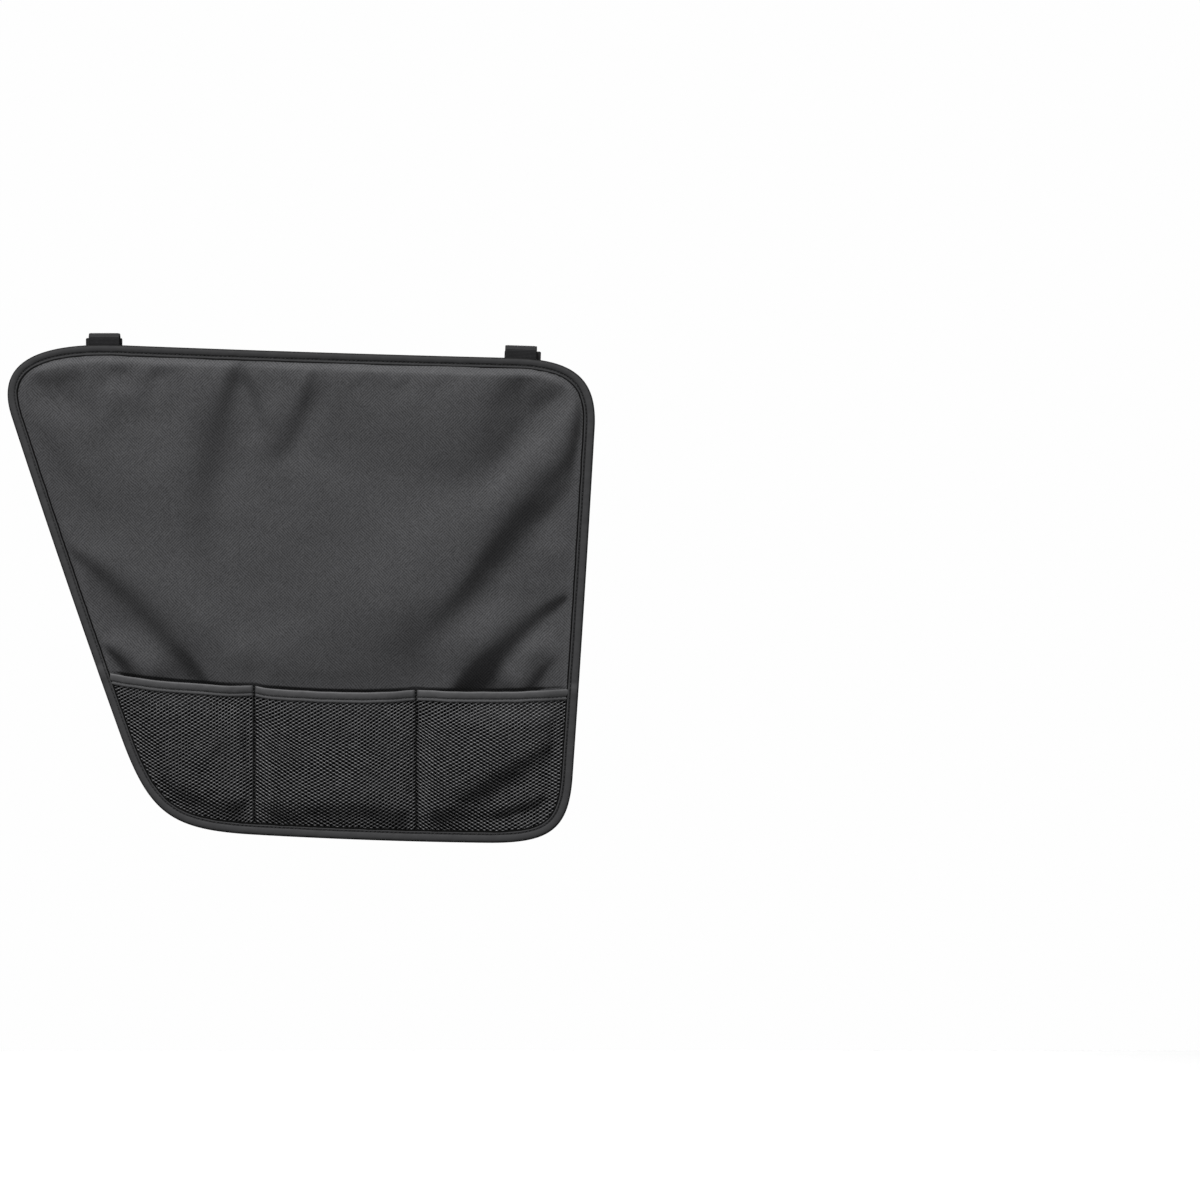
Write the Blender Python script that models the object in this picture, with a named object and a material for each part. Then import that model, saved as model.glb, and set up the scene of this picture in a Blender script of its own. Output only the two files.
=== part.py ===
"""Car door protector.

A cloth panel that hangs on the inside of a car door. Two webbing straps on its
back fold over the door's window ledge, and each holds a stiff plate that slides
down into the window gap. A band of open mesh across the bottom, sewn down at
two lines, makes three pockets. Edge tape binds the panel all round, and a
second tape binds the pockets' mouths.

Metres, +Z up. The front faces -Y, +X is to the right seen from the front.
The origin lies midway between the two straps' folds, on the line by which the
protector hangs, in the middle of the gap that takes the ledge.
"""
import math

import bmesh
import bpy
from mathutils import Vector
from mathutils.geometry import delaunay_2d_cdt

for ob in list(bpy.data.objects):
    bpy.data.objects.remove(ob, do_unlink=True)

MM = 0.001

# ---------------------------------------------------------------- dimensions
# All in millimetres.

# Panel outline. Each corner is where two edges would meet if they ran straight
# on (x, z), then how far along the edge before it and the edge after it the
# rounding reaches, and how full the rounding is. Clockwise from the front.
TOP_LEFT = (-353.6, 0.6, 86.4, 146.5, 0.671)
TOP_RIGHT = (309.7, -20.8, 91.9, 73.0, 0.722)
BOTTOM_RIGHT = (276.5, -545.5, 75.5, 89.2, 0.780)
BOTTOM_LEFT = (-172.4, -529.7, 109.6, 112.1, 0.834)
# How far the middle of each edge bows outward: top, right, bottom, left.
EDGE_BOW = (-0.8, 0.6, 1.4, 1.3)

GAP = 0.3                 # between pieces that lie on each other
CLOTH = 1.2               # main panel, coated cloth
MESH = 1.0                # pocket mesh
TAPE = 0.8                # edge tape, one layer
TAPE_WIDTH = 11.3         # edge tape, outer edge to stitched-down edge
POCKET_TAPE = 0.7
POCKET_TAPE_WIDTH = 11.5
TAPE_CLEARANCE = 0.4      # pocket tape to mesh

# Pockets. The mouth's line (x, z), from the left edge to the right edge.
MOUTH_LINE = (
    (-240.0, -355.4), (-216.0, -359.5), (-181.5, -364.8), (-147.0, -368.2),
    (-112.5, -370.7), (-80.0, -372.4), (-63.2, -372.2), (-52.0, -374.5),
    (-34.5, -376.0), (0.0, -378.1), (35.0, -379.2), (70.0, -379.3),
    (95.0, -378.1), (111.9, -376.5), (122.0, -377.2), (140.0, -378.1),
    (173.0, -378.6), (207.0, -378.8), (235.0, -378.0), (290.0, -375.2),
)
DIVIDERS = (-63.2, 111.9)  # x of the two sewn lines
POCKET_DEPTH = 10.0        # how far the mesh stands off the panel
POCKET_RAMP = 26.0         # width of its sloping sides
DIVIDER_LIFT = 1.2         # mesh at the sewn lines, over its hem's level
DIVIDER_HALF = 1.6         # half width of the flat along a sewn line
STRAIGHT_BAND = 13.0       # below the mouth the mesh has one section

SEAM_WIDTH = 1.6
SEAM_HEIGHT = 0.6

# Tabs: x of the strap's middle, z of the fold's underside, tilt in degrees.
LEFT_TAB = (-225.4, 7.0, 0.0)
RIGHT_TAB = (225.4, -7.0, 2.0)
STRAP_WIDTH = 32.5
STRAP = 1.3
HOOK_GAP = 10.0            # between the strap's two legs
STRAP_FRONT_LEG = 43.0     # below the fold's underside
STRAP_REAR_LEG = 40.0
PLATE_WIDTH = 39.5
PLATE_HEIGHT = 60.0
PLATE = 2.0
PLATE_TOP = 2.4            # top edge below the fold's underside
PLATE_OUTWARD = 1.8        # towards the panel's end
PLATE_TOP_RADIUS = 1.8
PLATE_BOTTOM_RADIUS = 8.0
PLATE_EDGE = 0.4

# Depths (y), worked back from the middle of the hook gap.
STRAP_FRONT_Y = -HOOK_GAP / 2 - STRAP          # front face of the front leg
TAPE_REAR_Y = STRAP_FRONT_Y - GAP
PANEL_REAR_Y = TAPE_REAR_Y - TAPE - GAP
PANEL_FRONT_Y = PANEL_REAR_Y - CLOTH
MESH_REAR_Y = PANEL_FRONT_Y - GAP              # where it is hemmed down
TAPE_FRONT_Y = MESH_REAR_Y - MESH - GAP - TAPE
PLATE_FRONT_Y = HOOK_GAP / 2 + STRAP + GAP


# ------------------------------------------------------------------- helpers
def material(name, colour, roughness, metallic=0.0):
    mat = bpy.data.materials.new(name)
    mat.use_nodes = True
    shader = mat.node_tree.nodes["Principled BSDF"]
    shader.inputs["Base Color"].default_value = (*colour, 1.0)
    shader.inputs["Roughness"].default_value = roughness
    shader.inputs["Metallic"].default_value = metallic
    return mat


def object_from(bm, name, mat, parent=None, smooth=None):
    bmesh.ops.recalc_face_normals(bm, faces=bm.faces)
    mesh = bpy.data.meshes.new(name)
    bm.to_mesh(mesh)
    bm.free()
    mesh.materials.append(mat)
    if smooth is not None:
        mesh.shade_smooth()
        mesh.set_sharp_from_angle(angle=math.radians(smooth))
    ob = bpy.data.objects.new(name, mesh)
    bpy.context.scene.collection.objects.link(ob)
    ob.parent = parent
    return ob


def rotated(v, angle):
    c, s = math.cos(angle), math.sin(angle)
    return Vector((c * v.x - s * v.y, s * v.x + c * v.y))


def bezier(p0, c0, c1, p1, count):
    points = []
    for i in range(count):
        t = i / count
        a, b, c, d = (1 - t) ** 3, 3 * t * (1 - t) ** 2, 3 * t * t * (1 - t), t ** 3
        points.append(a * p0 + b * c0 + c * c1 + d * p1)
    return points


def outline(edge_points=20, corner_points=13):
    """The panel's outer edge, clockwise from the front, as (x, z) in mm."""
    corners = (TOP_LEFT, TOP_RIGHT, BOTTOM_RIGHT, BOTTOM_LEFT)
    places = [Vector(c[:2]) for c in corners]
    starts, ends, leaving, arriving = [], [], [], []
    for i in range(4):
        a, b = places[i], places[(i + 1) % 4]
        along = (b - a).normalized()
        start = a + along * corners[i][3]
        end = b - along * corners[(i + 1) % 4][2]
        bow = math.atan(4 * EDGE_BOW[i] / (end - start).length)
        starts.append(start)
        ends.append(end)
        leaving.append(rotated(along, bow))
        arriving.append(rotated(along, -bow))
    points = []
    for i in range(4):
        j = (i + 1) % 4
        third = (ends[i] - starts[i]).length / 3
        points += bezier(starts[i], starts[i] + leaving[i] * third,
                         ends[i] - arriving[i] * third, ends[i], edge_points)
        points += bezier(ends[i], ends[i] + arriving[i] * corners[j][2] * corners[j][4],
                         starts[j] - leaving[j] * corners[j][3] * corners[j][4],
                         starts[j], corner_points)
    return points


def inset(points, distance):
    """A clockwise loop moved inward."""
    n = len(points)
    moved = []
    for i, p in enumerate(points):
        along = (points[(i + 1) % n] - points[i - 1]).normalized()
        moved.append(p + Vector((along.y, -along.x)) * distance)
    return moved


def distance_to(loop, p):
    best = 1e9
    for i, a in enumerate(loop):
        b = loop[(i + 1) % len(loop)]
        ab = b - a
        t = max(0.0, min(1.0, (p - a).dot(ab) / ab.length_squared))
        best = min(best, (a + ab * t - p).length)
    return best


def inside(loop, p):
    odd = False
    for i, a in enumerate(loop):
        b = loop[(i + 1) % len(loop)]
        if (a.y > p.y) != (b.y > p.y):
            if p.x < (b.x - a.x) * (p.y - a.y) / (b.y - a.y) + a.x:
                odd = not odd
    return odd


def mouth_z(x):
    """Height of the pockets' mouth: a smooth line through MOUTH_LINE."""
    pts = MOUTH_LINE
    i = 0
    while i < len(pts) - 2 and x > pts[i + 1][0]:
        i += 1
    (x0, z0), (x1, z1) = pts[i], pts[i + 1]

    def slope(k):
        if k in (0, len(pts) - 1) or pts[k][0] in DIVIDERS:
            return None
        return (pts[k + 1][1] - pts[k - 1][1]) / (pts[k + 1][0] - pts[k - 1][0])

    chord = (z1 - z0) / (x1 - x0)
    m0 = slope(i) if slope(i) is not None else chord
    m1 = slope(i + 1) if slope(i + 1) is not None else chord
    t = (x - x0) / (x1 - x0)
    h = x1 - x0
    return ((2 * t ** 3 - 3 * t ** 2 + 1) * z0 + (t ** 3 - 2 * t ** 2 + t) * h * m0
            + (-2 * t ** 3 + 3 * t ** 2) * z1 + (t ** 3 - t ** 2) * h * m1)


def ring(name, sections, mat, smooth):
    """A closed sweep: one loop of points for each station, all alike."""
    bm = bmesh.new()
    loops = [[bm.verts.new(p) for p in section] for section in sections]
    for i, loop in enumerate(loops):
        after = loops[(i + 1) % len(loops)]
        for k in range(len(loop)):
            m = (k + 1) % len(loop)
            bm.faces.new((loop[k], loop[m], after[m], after[k]))
    return object_from(bm, name, mat, smooth=smooth)


def run(name, sections, mat, parent=None, smooth=None):
    """An open sweep of matching four-cornered or C-shaped sections, whose two
    ends are filled between the section's outer and inner halves."""
    bm = bmesh.new()
    loops = [[bm.verts.new(p) for p in section] for section in sections]
    for loop, after in zip(loops, loops[1:]):
        for k in range(len(loop)):
            m = (k + 1) % len(loop)
            bm.faces.new((loop[k], loop[m], after[m], after[k]))
    half = len(loops[0]) // 2
    for loop in (loops[0], loops[-1]):
        for k in range(half - 1):
            bm.faces.new((loop[k], loop[k + 1], loop[-k - 2], loop[-k - 1]))
    return object_from(bm, name, mat, parent, smooth)


def place(x, y, z):
    return Vector((x * MM, y * MM, z * MM))


EDGE = outline()


# ---------------------------------------------------------------- main panel
def main_panel():
    bm = bmesh.new()
    loop = inset(EDGE, TAPE + GAP)
    face = bm.faces.new([bm.verts.new(place(p.x, PANEL_FRONT_Y, p.y)) for p in loop])
    out = bmesh.ops.extrude_face_region(bm, geom=[face])
    moved = [g for g in out["geom"] if isinstance(g, bmesh.types.BMVert)]
    bmesh.ops.translate(bm, verts=moved, vec=(0, CLOTH * MM, 0))
    return object_from(bm, "main_panel", material("panel_cloth", (0.052, 0.052, 0.055), 0.82))


# -------------------------------------------------------------- edge binding
def edge_binding():
    """Tape folded over the panel's edge: a C-shaped section all round."""
    w, t = TAPE_WIDTH, TAPE
    front, rear = TAPE_FRONT_Y, TAPE_REAR_Y
    section = (
        (w, front), (0.9, front), (0.0, front + 0.9), (0.0, rear - 0.9),
        (0.9, rear), (w, rear), (w, rear - t), (t, rear - t),
        (t, front + t), (w, front + t),
    )
    loops = [[place(p.x, y, p.y) for p in inset(EDGE, depth)] for depth, y in section]
    sections = [[loop[i] for loop in loops] for i in range(len(EDGE))]
    return ring("edge_binding", sections, material("edge_tape", (0.043, 0.043, 0.046), 0.75), 40)


# --------------------------------------------------------------- mesh pocket
def bulge(x, z):
    """How far the pocket mesh stands off its hem's level at a point."""
    z = min(z, mouth_z(x) - STRAIGHT_BAND)
    slope = POCKET_DEPTH / POCKET_RAMP
    value = (distance_to(EDGE, Vector((x, z))) - TAPE_WIDTH - GAP) * slope
    for divider in DIVIDERS:
        value = min(value, DIVIDER_LIFT + (abs(x - divider) - DIVIDER_HALF) * slope
                    if abs(x - divider) > DIVIDER_HALF else DIVIDER_LIFT)
    return max(0.0, min(POCKET_DEPTH, value))


def crossing(drop, depth, side):
    """x where a line `drop` below the mouth is `depth` inside the edge."""
    low, high = (-260.0, -150.0) if side < 0 else (200.0, 300.0)
    for _ in range(50):
        mid = (low + high) / 2
        p = Vector((mid, mouth_z(mid) - drop))
        deep = distance_to(EDGE, p) if inside(EDGE, p) else -1.0
        if (deep > depth) == (side < 0):
            high = mid
        else:
            low = mid
    return (low + high) / 2


def mouth_columns():
    """x of every place where the mesh's section below the mouth may bend."""
    flat, full = TAPE_WIDTH + GAP, TAPE_WIDTH + GAP + POCKET_RAMP
    xs = []
    for side in (-1, 1):
        xs += [crossing(STRAIGHT_BAND, flat, side), crossing(STRAIGHT_BAND, full, side)]
    reach = DIVIDER_HALF + (POCKET_DEPTH - DIVIDER_LIFT) * POCKET_RAMP / POCKET_DEPTH
    for divider in DIVIDERS:
        xs += [divider - reach, divider - DIVIDER_HALF, divider, divider + DIVIDER_HALF,
               divider + reach]
    xs.sort()
    filled = [xs[0]]
    for x in xs[1:]:
        steps = max(1, math.ceil((x - filled[-1]) / 15.0))
        start = filled[-1]
        filled += [start + (x - start) * k / steps for k in range(1, steps + 1)]
    return filled


COLUMNS = mouth_columns()


def mesh_pocket():
    hem = TAPE + GAP
    top = POCKET_TAPE + TAPE_CLEARANCE

    def border_row(drop):
        ends = [crossing(drop, hem, -1), crossing(drop, hem, 1)]
        return [Vector((x, mouth_z(x) - drop)) for x in [ends[0]] + COLUMNS + [ends[1]]]

    upper, lower = border_row(top), border_row(STRAIGHT_BAND)
    below = [p for p in inset(EDGE, hem) if p.y < mouth_z(max(-239, min(289, p.x))) - top - 3.0]
    # The loop runs clockwise, so the stretch below the mouth starts at the
    # right edge and ends at the left edge.
    loop_edge = [p for p in inset(EDGE, hem)]
    n = len(loop_edge)
    start = next(i for i in range(n) if loop_edge[i] in below and loop_edge[i - 1] not in below)
    ordered = []
    i = start
    while loop_edge[i % n] in below:
        ordered.append(loop_edge[i % n])
        i += 1
    border = upper + ordered

    points, edges = [], []

    def chain(line, closed=False):
        first = len(points)
        points.extend(line)
        last = len(points) - 1
        edges.extend((k, k + 1) for k in range(first, last))
        if closed:
            edges.append((last, first))

    chain(border, closed=True)
    chain(lower)
    reach = DIVIDER_HALF + (POCKET_DEPTH - DIVIDER_LIFT) * POCKET_RAMP / POCKET_DEPTH
    floor = [p for p in inset(EDGE, TAPE_WIDTH + GAP)]
    shelf = [p for p in inset(EDGE, TAPE_WIDTH + GAP + POCKET_RAMP)]
    for loop in (floor, shelf):
        part, parts = [], []
        m = len(loop)
        begin = next(i for i in range(m) if loop[i].y > -300)
        for k in range(m + 1):
            p = loop[(begin + k) % m]
            if p.y < mouth_z(max(-239, min(289, p.x))) - STRAIGHT_BAND - 1.0:
                part.append(p)
            elif part:
                parts.append(part)
                part = []
        for part in parts:
            chain(part)
    for divider in DIVIDERS:
        for x in (divider - reach, divider - DIVIDER_HALF, divider + DIVIDER_HALF, divider + reach):
            low = -530.0
            while not (inside(EDGE, Vector((x, low))) and
                       distance_to(EDGE, Vector((x, low))) > TAPE_WIDTH + GAP):
                low += 1.0
            high = mouth_z(x) - STRAIGHT_BAND - 2.0
            steps = 8
            chain([Vector((x, high + (low - high) * k / steps)) for k in range(steps + 1)])
    step = 17.0
    x = -225.0
    while x < 285.0:
        z = -535.0
        while z < -395.0:
            p = Vector((x, z))
            if (inside(EDGE, p) and distance_to(EDGE, p) > TAPE_WIDTH + 5.0
                    and z < mouth_z(x) - STRAIGHT_BAND - 6.0):
                points.append(p)
            z += step
        x += step

    verts, _, faces, *_ = delaunay_2d_cdt([p * MM for p in points], edges, [], 0, 1e-7)
    verts = [v / MM for v in verts]
    kept = []
    for face in faces:
        mid = sum((verts[k] for k in face), Vector((0.0, 0.0))) / len(face)
        if inside(border, mid):
            kept.append(face)
    bm = bmesh.new()
    rear, front = {}, {}
    for k in sorted({k for face in kept for k in face}):
        x, z = verts[k]
        y = MESH_REAR_Y - bulge(x, z)
        rear[k] = bm.verts.new(place(x, y, z))
        front[k] = bm.verts.new(place(x, y - MESH, z))
    used = {}
    for face in kept:
        bm.faces.new([rear[k] for k in face])
        bm.faces.new([front[k] for k in reversed(face)])
        for a, b in zip(face, face[1:] + face[:1]):
            used[(a, b)] = True
    for a, b in used:
        if (b, a) not in used:
            bm.faces.new((rear[b], rear[a], front[a], front[b]))
    return object_from(bm, "mesh_pocket", material("pocket_mesh", (0.03, 0.03, 0.033), 0.7), smooth=25)


# ------------------------------------------------------------ pocket binding
def pocket_binding():
    """Tape folded over the mesh's top edge, one length across all three mouths."""
    w, t, c = POCKET_TAPE_WIDTH, POCKET_TAPE, TAPE_CLEARANCE
    section = (
        (w, -c - t - MESH), (0.6, -c - t - MESH), (0.0, -c - t - MESH + 0.6),
        (0.0, c + t - 0.6), (0.6, c + t), (w, c + t),
        (w, c), (t + 0.3, c), (t, c - 0.2), (t, -c - MESH + 0.2),
        (t + 0.3, -c - MESH), (w, -c - MESH),
    )
    # It stops where the mesh has left the panel by the tape's inner layer.
    clear = TAPE_WIDTH + GAP + (c + t + 0.05) * POCKET_RAMP / POCKET_DEPTH
    ends = [crossing(STRAIGHT_BAND, clear, side) for side in (-1, 1)]
    xs = [ends[0]] + [x for x in COLUMNS if ends[0] + 0.5 < x < ends[1] - 0.5] + [ends[1]]
    sections = []
    for x in xs:
        y = MESH_REAR_Y - bulge(x, mouth_z(x))
        sections.append([place(x, y + dy, mouth_z(x) - down) for down, dy in section])
    return run("pocket_binding", sections, material("pocket_tape", (0.075, 0.075, 0.078), 0.7),
               smooth=40)


# ------------------------------------------------------------- divider seams
def divider_seam(name, x):
    """A line of heavy thread that sews the mesh down to the panel."""
    high = mouth_z(x) - POCKET_TAPE_WIDTH - 1.0
    low = -540.0
    while not (inside(EDGE, Vector((x, low))) and
               distance_to(EDGE, Vector((x, low))) > TAPE_WIDTH + 5.5):
        low += 0.5
    sections = []
    for k in range(9):
        z = high + (low - high) * k / 8
        sections.append([
            place(x + dx, MESH_REAR_Y - DIVIDER_LIFT - MESH - GAP - dy, z)
            for dx, dy in ((-SEAM_WIDTH / 2, 0), (-SEAM_WIDTH / 3, SEAM_HEIGHT),
                           (SEAM_WIDTH / 3, SEAM_HEIGHT), (SEAM_WIDTH / 2, 0))
        ])
    return run(name, sections, material(name + "_thread", (0.03, 0.03, 0.032), 0.6))


# ---------------------------------------------------------------------- tabs
def tab(side, x, z, tilt):
    holder = bpy.data.objects.new(side + "_tab", None)
    bpy.context.scene.collection.objects.link(holder)
    holder.location = place(x, 0, z)
    holder.rotation_euler = (0, math.radians(tilt), 0)

    # Webbing: up the panel's back, over, and down behind, round a half circle.
    radius = HOOK_GAP / 2
    path = [(-radius, -STRAP_FRONT_LEG, -1, 0), (-radius, -STRAP_FRONT_LEG / 2, -1, 0)]
    arc = 12
    for k in range(arc + 1):
        a = math.pi - math.pi * k / arc
        path.append((radius * math.cos(a), -radius + radius * math.sin(a),
                     math.cos(a), math.sin(a)))
    path += [(radius, -STRAP_REAR_LEG / 2, 1, 0), (radius, -STRAP_REAR_LEG, 1, 0)]
    half = STRAP_WIDTH / 2
    sections = []
    for y, up, ny, nz in path:
        outer = (y + ny * STRAP, up + nz * STRAP)
        sections.append([place(-half, *outer), place(half, *outer),
                         place(half, y, up), place(-half, y, up)])
    run(side + "_tab_strap", sections,
        material(side + "_webbing", (0.022, 0.022, 0.024), 0.7), holder, 30)

    # Stiff plate behind the strap's rear leg.
    outward = -PLATE_OUTWARD if side == "left" else PLATE_OUTWARD
    bm = bmesh.new()
    top, bottom = -PLATE_TOP, -PLATE_TOP - PLATE_HEIGHT
    loop = []
    corners = (
        (1, top, PLATE_TOP_RADIUS, 0), (-1, top, PLATE_TOP_RADIUS, 90),
        (-1, bottom, PLATE_BOTTOM_RADIUS, 180), (1, bottom, PLATE_BOTTOM_RADIUS, 270),
    )
    for sx, cz, r, turn in corners:
        cx = outward + sx * (PLATE_WIDTH / 2 - r)
        cz += -r if cz == top else r
        for k in range(7):
            a = math.radians(turn + 90 * k / 6)
            loop.append((cx + r * math.cos(a), cz + r * math.sin(a)))
    face = bm.faces.new([bm.verts.new(place(px, PLATE_FRONT_Y, pz)) for px, pz in loop])
    out = bmesh.ops.extrude_face_region(bm, geom=[face])
    moved = [g for g in out["geom"] if isinstance(g, bmesh.types.BMVert)]
    bmesh.ops.translate(bm, verts=moved, vec=(0, PLATE * MM, 0))
    plate = object_from(bm, side + "_insert_plate",
                        material(side + "_plate_plastic", (0.012, 0.012, 0.013), 0.45), holder)
    bevel = plate.modifiers.new("eased edge", "BEVEL")
    bevel.width = PLATE_EDGE * MM
    bevel.segments = 2
    bevel.limit_method = "ANGLE"
    bevel.angle_limit = math.radians(60)


main_panel()
edge_binding()
mesh_pocket()
pocket_binding()
divider_seam("left_divider_seam", DIVIDERS[0])
divider_seam("right_divider_seam", DIVIDERS[1])
tab("left", *LEFT_TAB)
tab("right", *RIGHT_TAB)
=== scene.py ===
"""Looks of a car door protector: cloth panel, edge tape, mesh pockets, tabs.

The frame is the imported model. All the making below is in millimetres in the
frame's axes (+X right, +Y to the back, +Z up) and is scaled when a mesh is made.
"""
import math

import bpy
import numpy as np
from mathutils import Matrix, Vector
from mathutils.kdtree import KDTree


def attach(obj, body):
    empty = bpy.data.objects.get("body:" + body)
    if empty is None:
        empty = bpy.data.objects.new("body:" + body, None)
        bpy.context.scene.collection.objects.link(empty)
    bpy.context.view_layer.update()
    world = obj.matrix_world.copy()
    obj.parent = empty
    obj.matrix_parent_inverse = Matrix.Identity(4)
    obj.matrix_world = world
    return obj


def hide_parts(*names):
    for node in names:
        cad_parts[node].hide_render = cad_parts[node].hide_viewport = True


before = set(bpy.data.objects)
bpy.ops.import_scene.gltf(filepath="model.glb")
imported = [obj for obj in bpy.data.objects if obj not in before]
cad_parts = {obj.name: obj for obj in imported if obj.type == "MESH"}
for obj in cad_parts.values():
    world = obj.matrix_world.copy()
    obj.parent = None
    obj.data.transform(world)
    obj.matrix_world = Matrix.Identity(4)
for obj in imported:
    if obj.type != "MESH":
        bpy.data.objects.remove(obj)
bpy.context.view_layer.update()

MM = 0.001
PX = 1.08094                 # millimetres in the object's plane for one pixel
PX0, PZ0 = 312.5, 341.23     # the pixel at the frame's origin


def pix(x, y):
    """A place in the photograph, as x and z in millimetres."""
    return ((x - PX0) * PX, (PZ0 - y) * PX)


# ---------------------------------------------------------------- dimensions
TOP_LEFT = (-353.6, 0.6, 86.4, 146.5, 0.671)
TOP_RIGHT = (309.7, -20.8, 91.9, 73.0, 0.722)
BOTTOM_RIGHT = (276.5, -545.5, 75.5, 89.2, 0.780)
BOTTOM_LEFT = (-172.4, -529.7, 109.6, 112.1, 0.834)
EDGE_BOW = (-0.8, 0.6, 1.4, 1.3)
MOUTH_LINE = np.array((
    (-240.0, -355.4), (-216.0, -359.5), (-181.5, -364.8), (-147.0, -368.2),
    (-112.5, -370.7), (-80.0, -372.4), (-63.2, -372.2), (-52.0, -374.5),
    (-34.5, -376.0), (0.0, -378.1), (35.0, -379.2), (70.0, -379.3),
    (95.0, -378.1), (111.9, -376.5), (122.0, -377.2), (140.0, -378.1),
    (173.0, -378.6), (207.0, -378.8), (235.0, -378.0), (290.0, -375.2),
))
DIVIDERS = (-63.2, 111.9)
MID_Y = -8.3                 # the panel's middle plane
CLOTH = 1.2
POCKET_TAPE = 11.5           # width of the pocket tape's front leg
STITCH = 4.5                 # stitch pitch

rng = np.random.RandomState(7)


# ------------------------------------------------------------------- helpers
def smooth01(t):
    t = np.clip(t, 0.0, 1.0)
    return t * t * (3 - 2 * t)


def make_mesh(name, verts, faces, mat, smooth=True, attributes=None):
    """verts in mm; faces a list or an array of index loops."""
    mesh = bpy.data.meshes.new(name)
    mesh.from_pydata((np.asarray(verts, float) * MM).tolist(), [],
                     faces.tolist() if hasattr(faces, "tolist") else faces)
    mesh.validate()
    for key, values in (attributes or {}).items():
        values = np.asarray(values, np.float32)
        if values.ndim == 1:
            layer = mesh.attributes.new(key, "FLOAT", "POINT")
            layer.data.foreach_set("value", values)
        else:
            layer = mesh.attributes.new(key, "FLOAT_VECTOR", "POINT")
            layer.data.foreach_set("vector", values.ravel())
    for m in (mat if isinstance(mat, (list, tuple)) else [mat]):
        mesh.materials.append(m)
    if smooth:
        mesh.shade_smooth()
    ob = bpy.data.objects.new(name, mesh)
    bpy.context.scene.collection.objects.link(ob)
    return ob


def hermite(points, x):
    """Smooth curve through (x, y) points, as an array function of x."""
    px, py = points[:, 0], points[:, 1]
    slope = np.gradient(py, px)
    x = np.clip(x, px[0], px[-1])
    i = np.clip(np.searchsorted(px, x, side="right") - 1, 0, len(px) - 2)
    h = px[i + 1] - px[i]
    t = (x - px[i]) / h
    return ((2 * t ** 3 - 3 * t ** 2 + 1) * py[i] + (t ** 3 - 2 * t ** 2 + t) * h * slope[i]
            + (-2 * t ** 3 + 3 * t ** 2) * py[i + 1] + (t ** 3 - t ** 2) * h * slope[i + 1])


# The line of the mouth in three runs, one for each pocket, so that it keeps
# its small peaks at the dividers.
_k1 = int(np.argmin(abs(MOUTH_LINE[:, 0] - DIVIDERS[0])))
_k2 = int(np.argmin(abs(MOUTH_LINE[:, 0] - DIVIDERS[1])))


def mouth_z(x):
    x = np.asarray(x, float)
    a = hermite(MOUTH_LINE[:_k1 + 1], x)
    b = hermite(MOUTH_LINE[_k1:_k2 + 1], x)
    c = hermite(MOUTH_LINE[_k2:], x)
    return np.where(x < DIVIDERS[0], a, np.where(x < DIVIDERS[1], b, c))


def _bezier(p0, c0, c1, p1, n):
    t = (np.arange(n) / n)[:, None]
    return ((1 - t) ** 3 * p0 + 3 * t * (1 - t) ** 2 * c0 + 3 * t * t * (1 - t) * c1 + t ** 3 * p1)


def _turned(v, a):
    c, s = math.cos(a), math.sin(a)
    return np.array([c * v[0] - s * v[1], s * v[0] + c * v[1]])


def _outline(step=0.5):
    """Points (x, z), inward normals and arc length of the outer edge."""
    corners = (TOP_LEFT, TOP_RIGHT, BOTTOM_RIGHT, BOTTOM_LEFT)
    place = [np.array(c[:2]) for c in corners]
    start, end, leave, arrive = [], [], [], []
    for i in range(4):
        a, b = place[i], place[(i + 1) % 4]
        along = (b - a) / np.linalg.norm(b - a)
        s = a + along * corners[i][3]
        e = b - along * corners[(i + 1) % 4][2]
        bow = math.atan(4 * EDGE_BOW[i] / np.linalg.norm(e - s))
        start.append(s)
        end.append(e)
        leave.append(_turned(along, bow))
        arrive.append(_turned(along, -bow))
    runs = []
    for i in range(4):
        j = (i + 1) % 4
        third = np.linalg.norm(end[i] - start[i]) / 3
        runs.append(_bezier(start[i], start[i] + leave[i] * third,
                            end[i] - arrive[i] * third, end[i], 1500))
        runs.append(_bezier(end[i], end[i] + arrive[i] * corners[j][2] * corners[j][4],
                            start[j] - leave[j] * corners[j][3] * corners[j][4], start[j], 800))
    line = np.vstack(runs + [runs[0][:1]])
    lengths = np.concatenate([[0], np.cumsum(np.linalg.norm(np.diff(line, axis=0), axis=1))])
    count = int(round(lengths[-1] / step))
    s = np.arange(count) * lengths[-1] / count
    points = np.column_stack([np.interp(s, lengths, line[:, k]) for k in (0, 1)])
    along = np.roll(points, -1, 0) - np.roll(points, 1, 0)
    along /= np.linalg.norm(along, axis=1)[:, None]
    normal = np.column_stack([along[:, 1], -along[:, 0]])
    return points, normal, s, lengths[-1]


EDGE, EDGE_IN, EDGE_S, EDGE_LENGTH = _outline()
_tree = KDTree(len(EDGE))
for _i, _p in enumerate(EDGE):
    _tree.insert((_p[0], 0.0, _p[1]), _i)
_tree.balance()


def depth_in(x, z):
    """(distance inside the edge, arc length of the nearest edge point)."""
    flat = np.column_stack([np.ravel(x), np.ravel(z)])
    near = np.array([_tree.find((a, 0.0, b))[1] for a, b in flat])
    d = ((flat - EDGE[near]) * EDGE_IN[near]).sum(1)
    return d.reshape(np.shape(x)), EDGE_S[near].reshape(np.shape(x))


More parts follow.
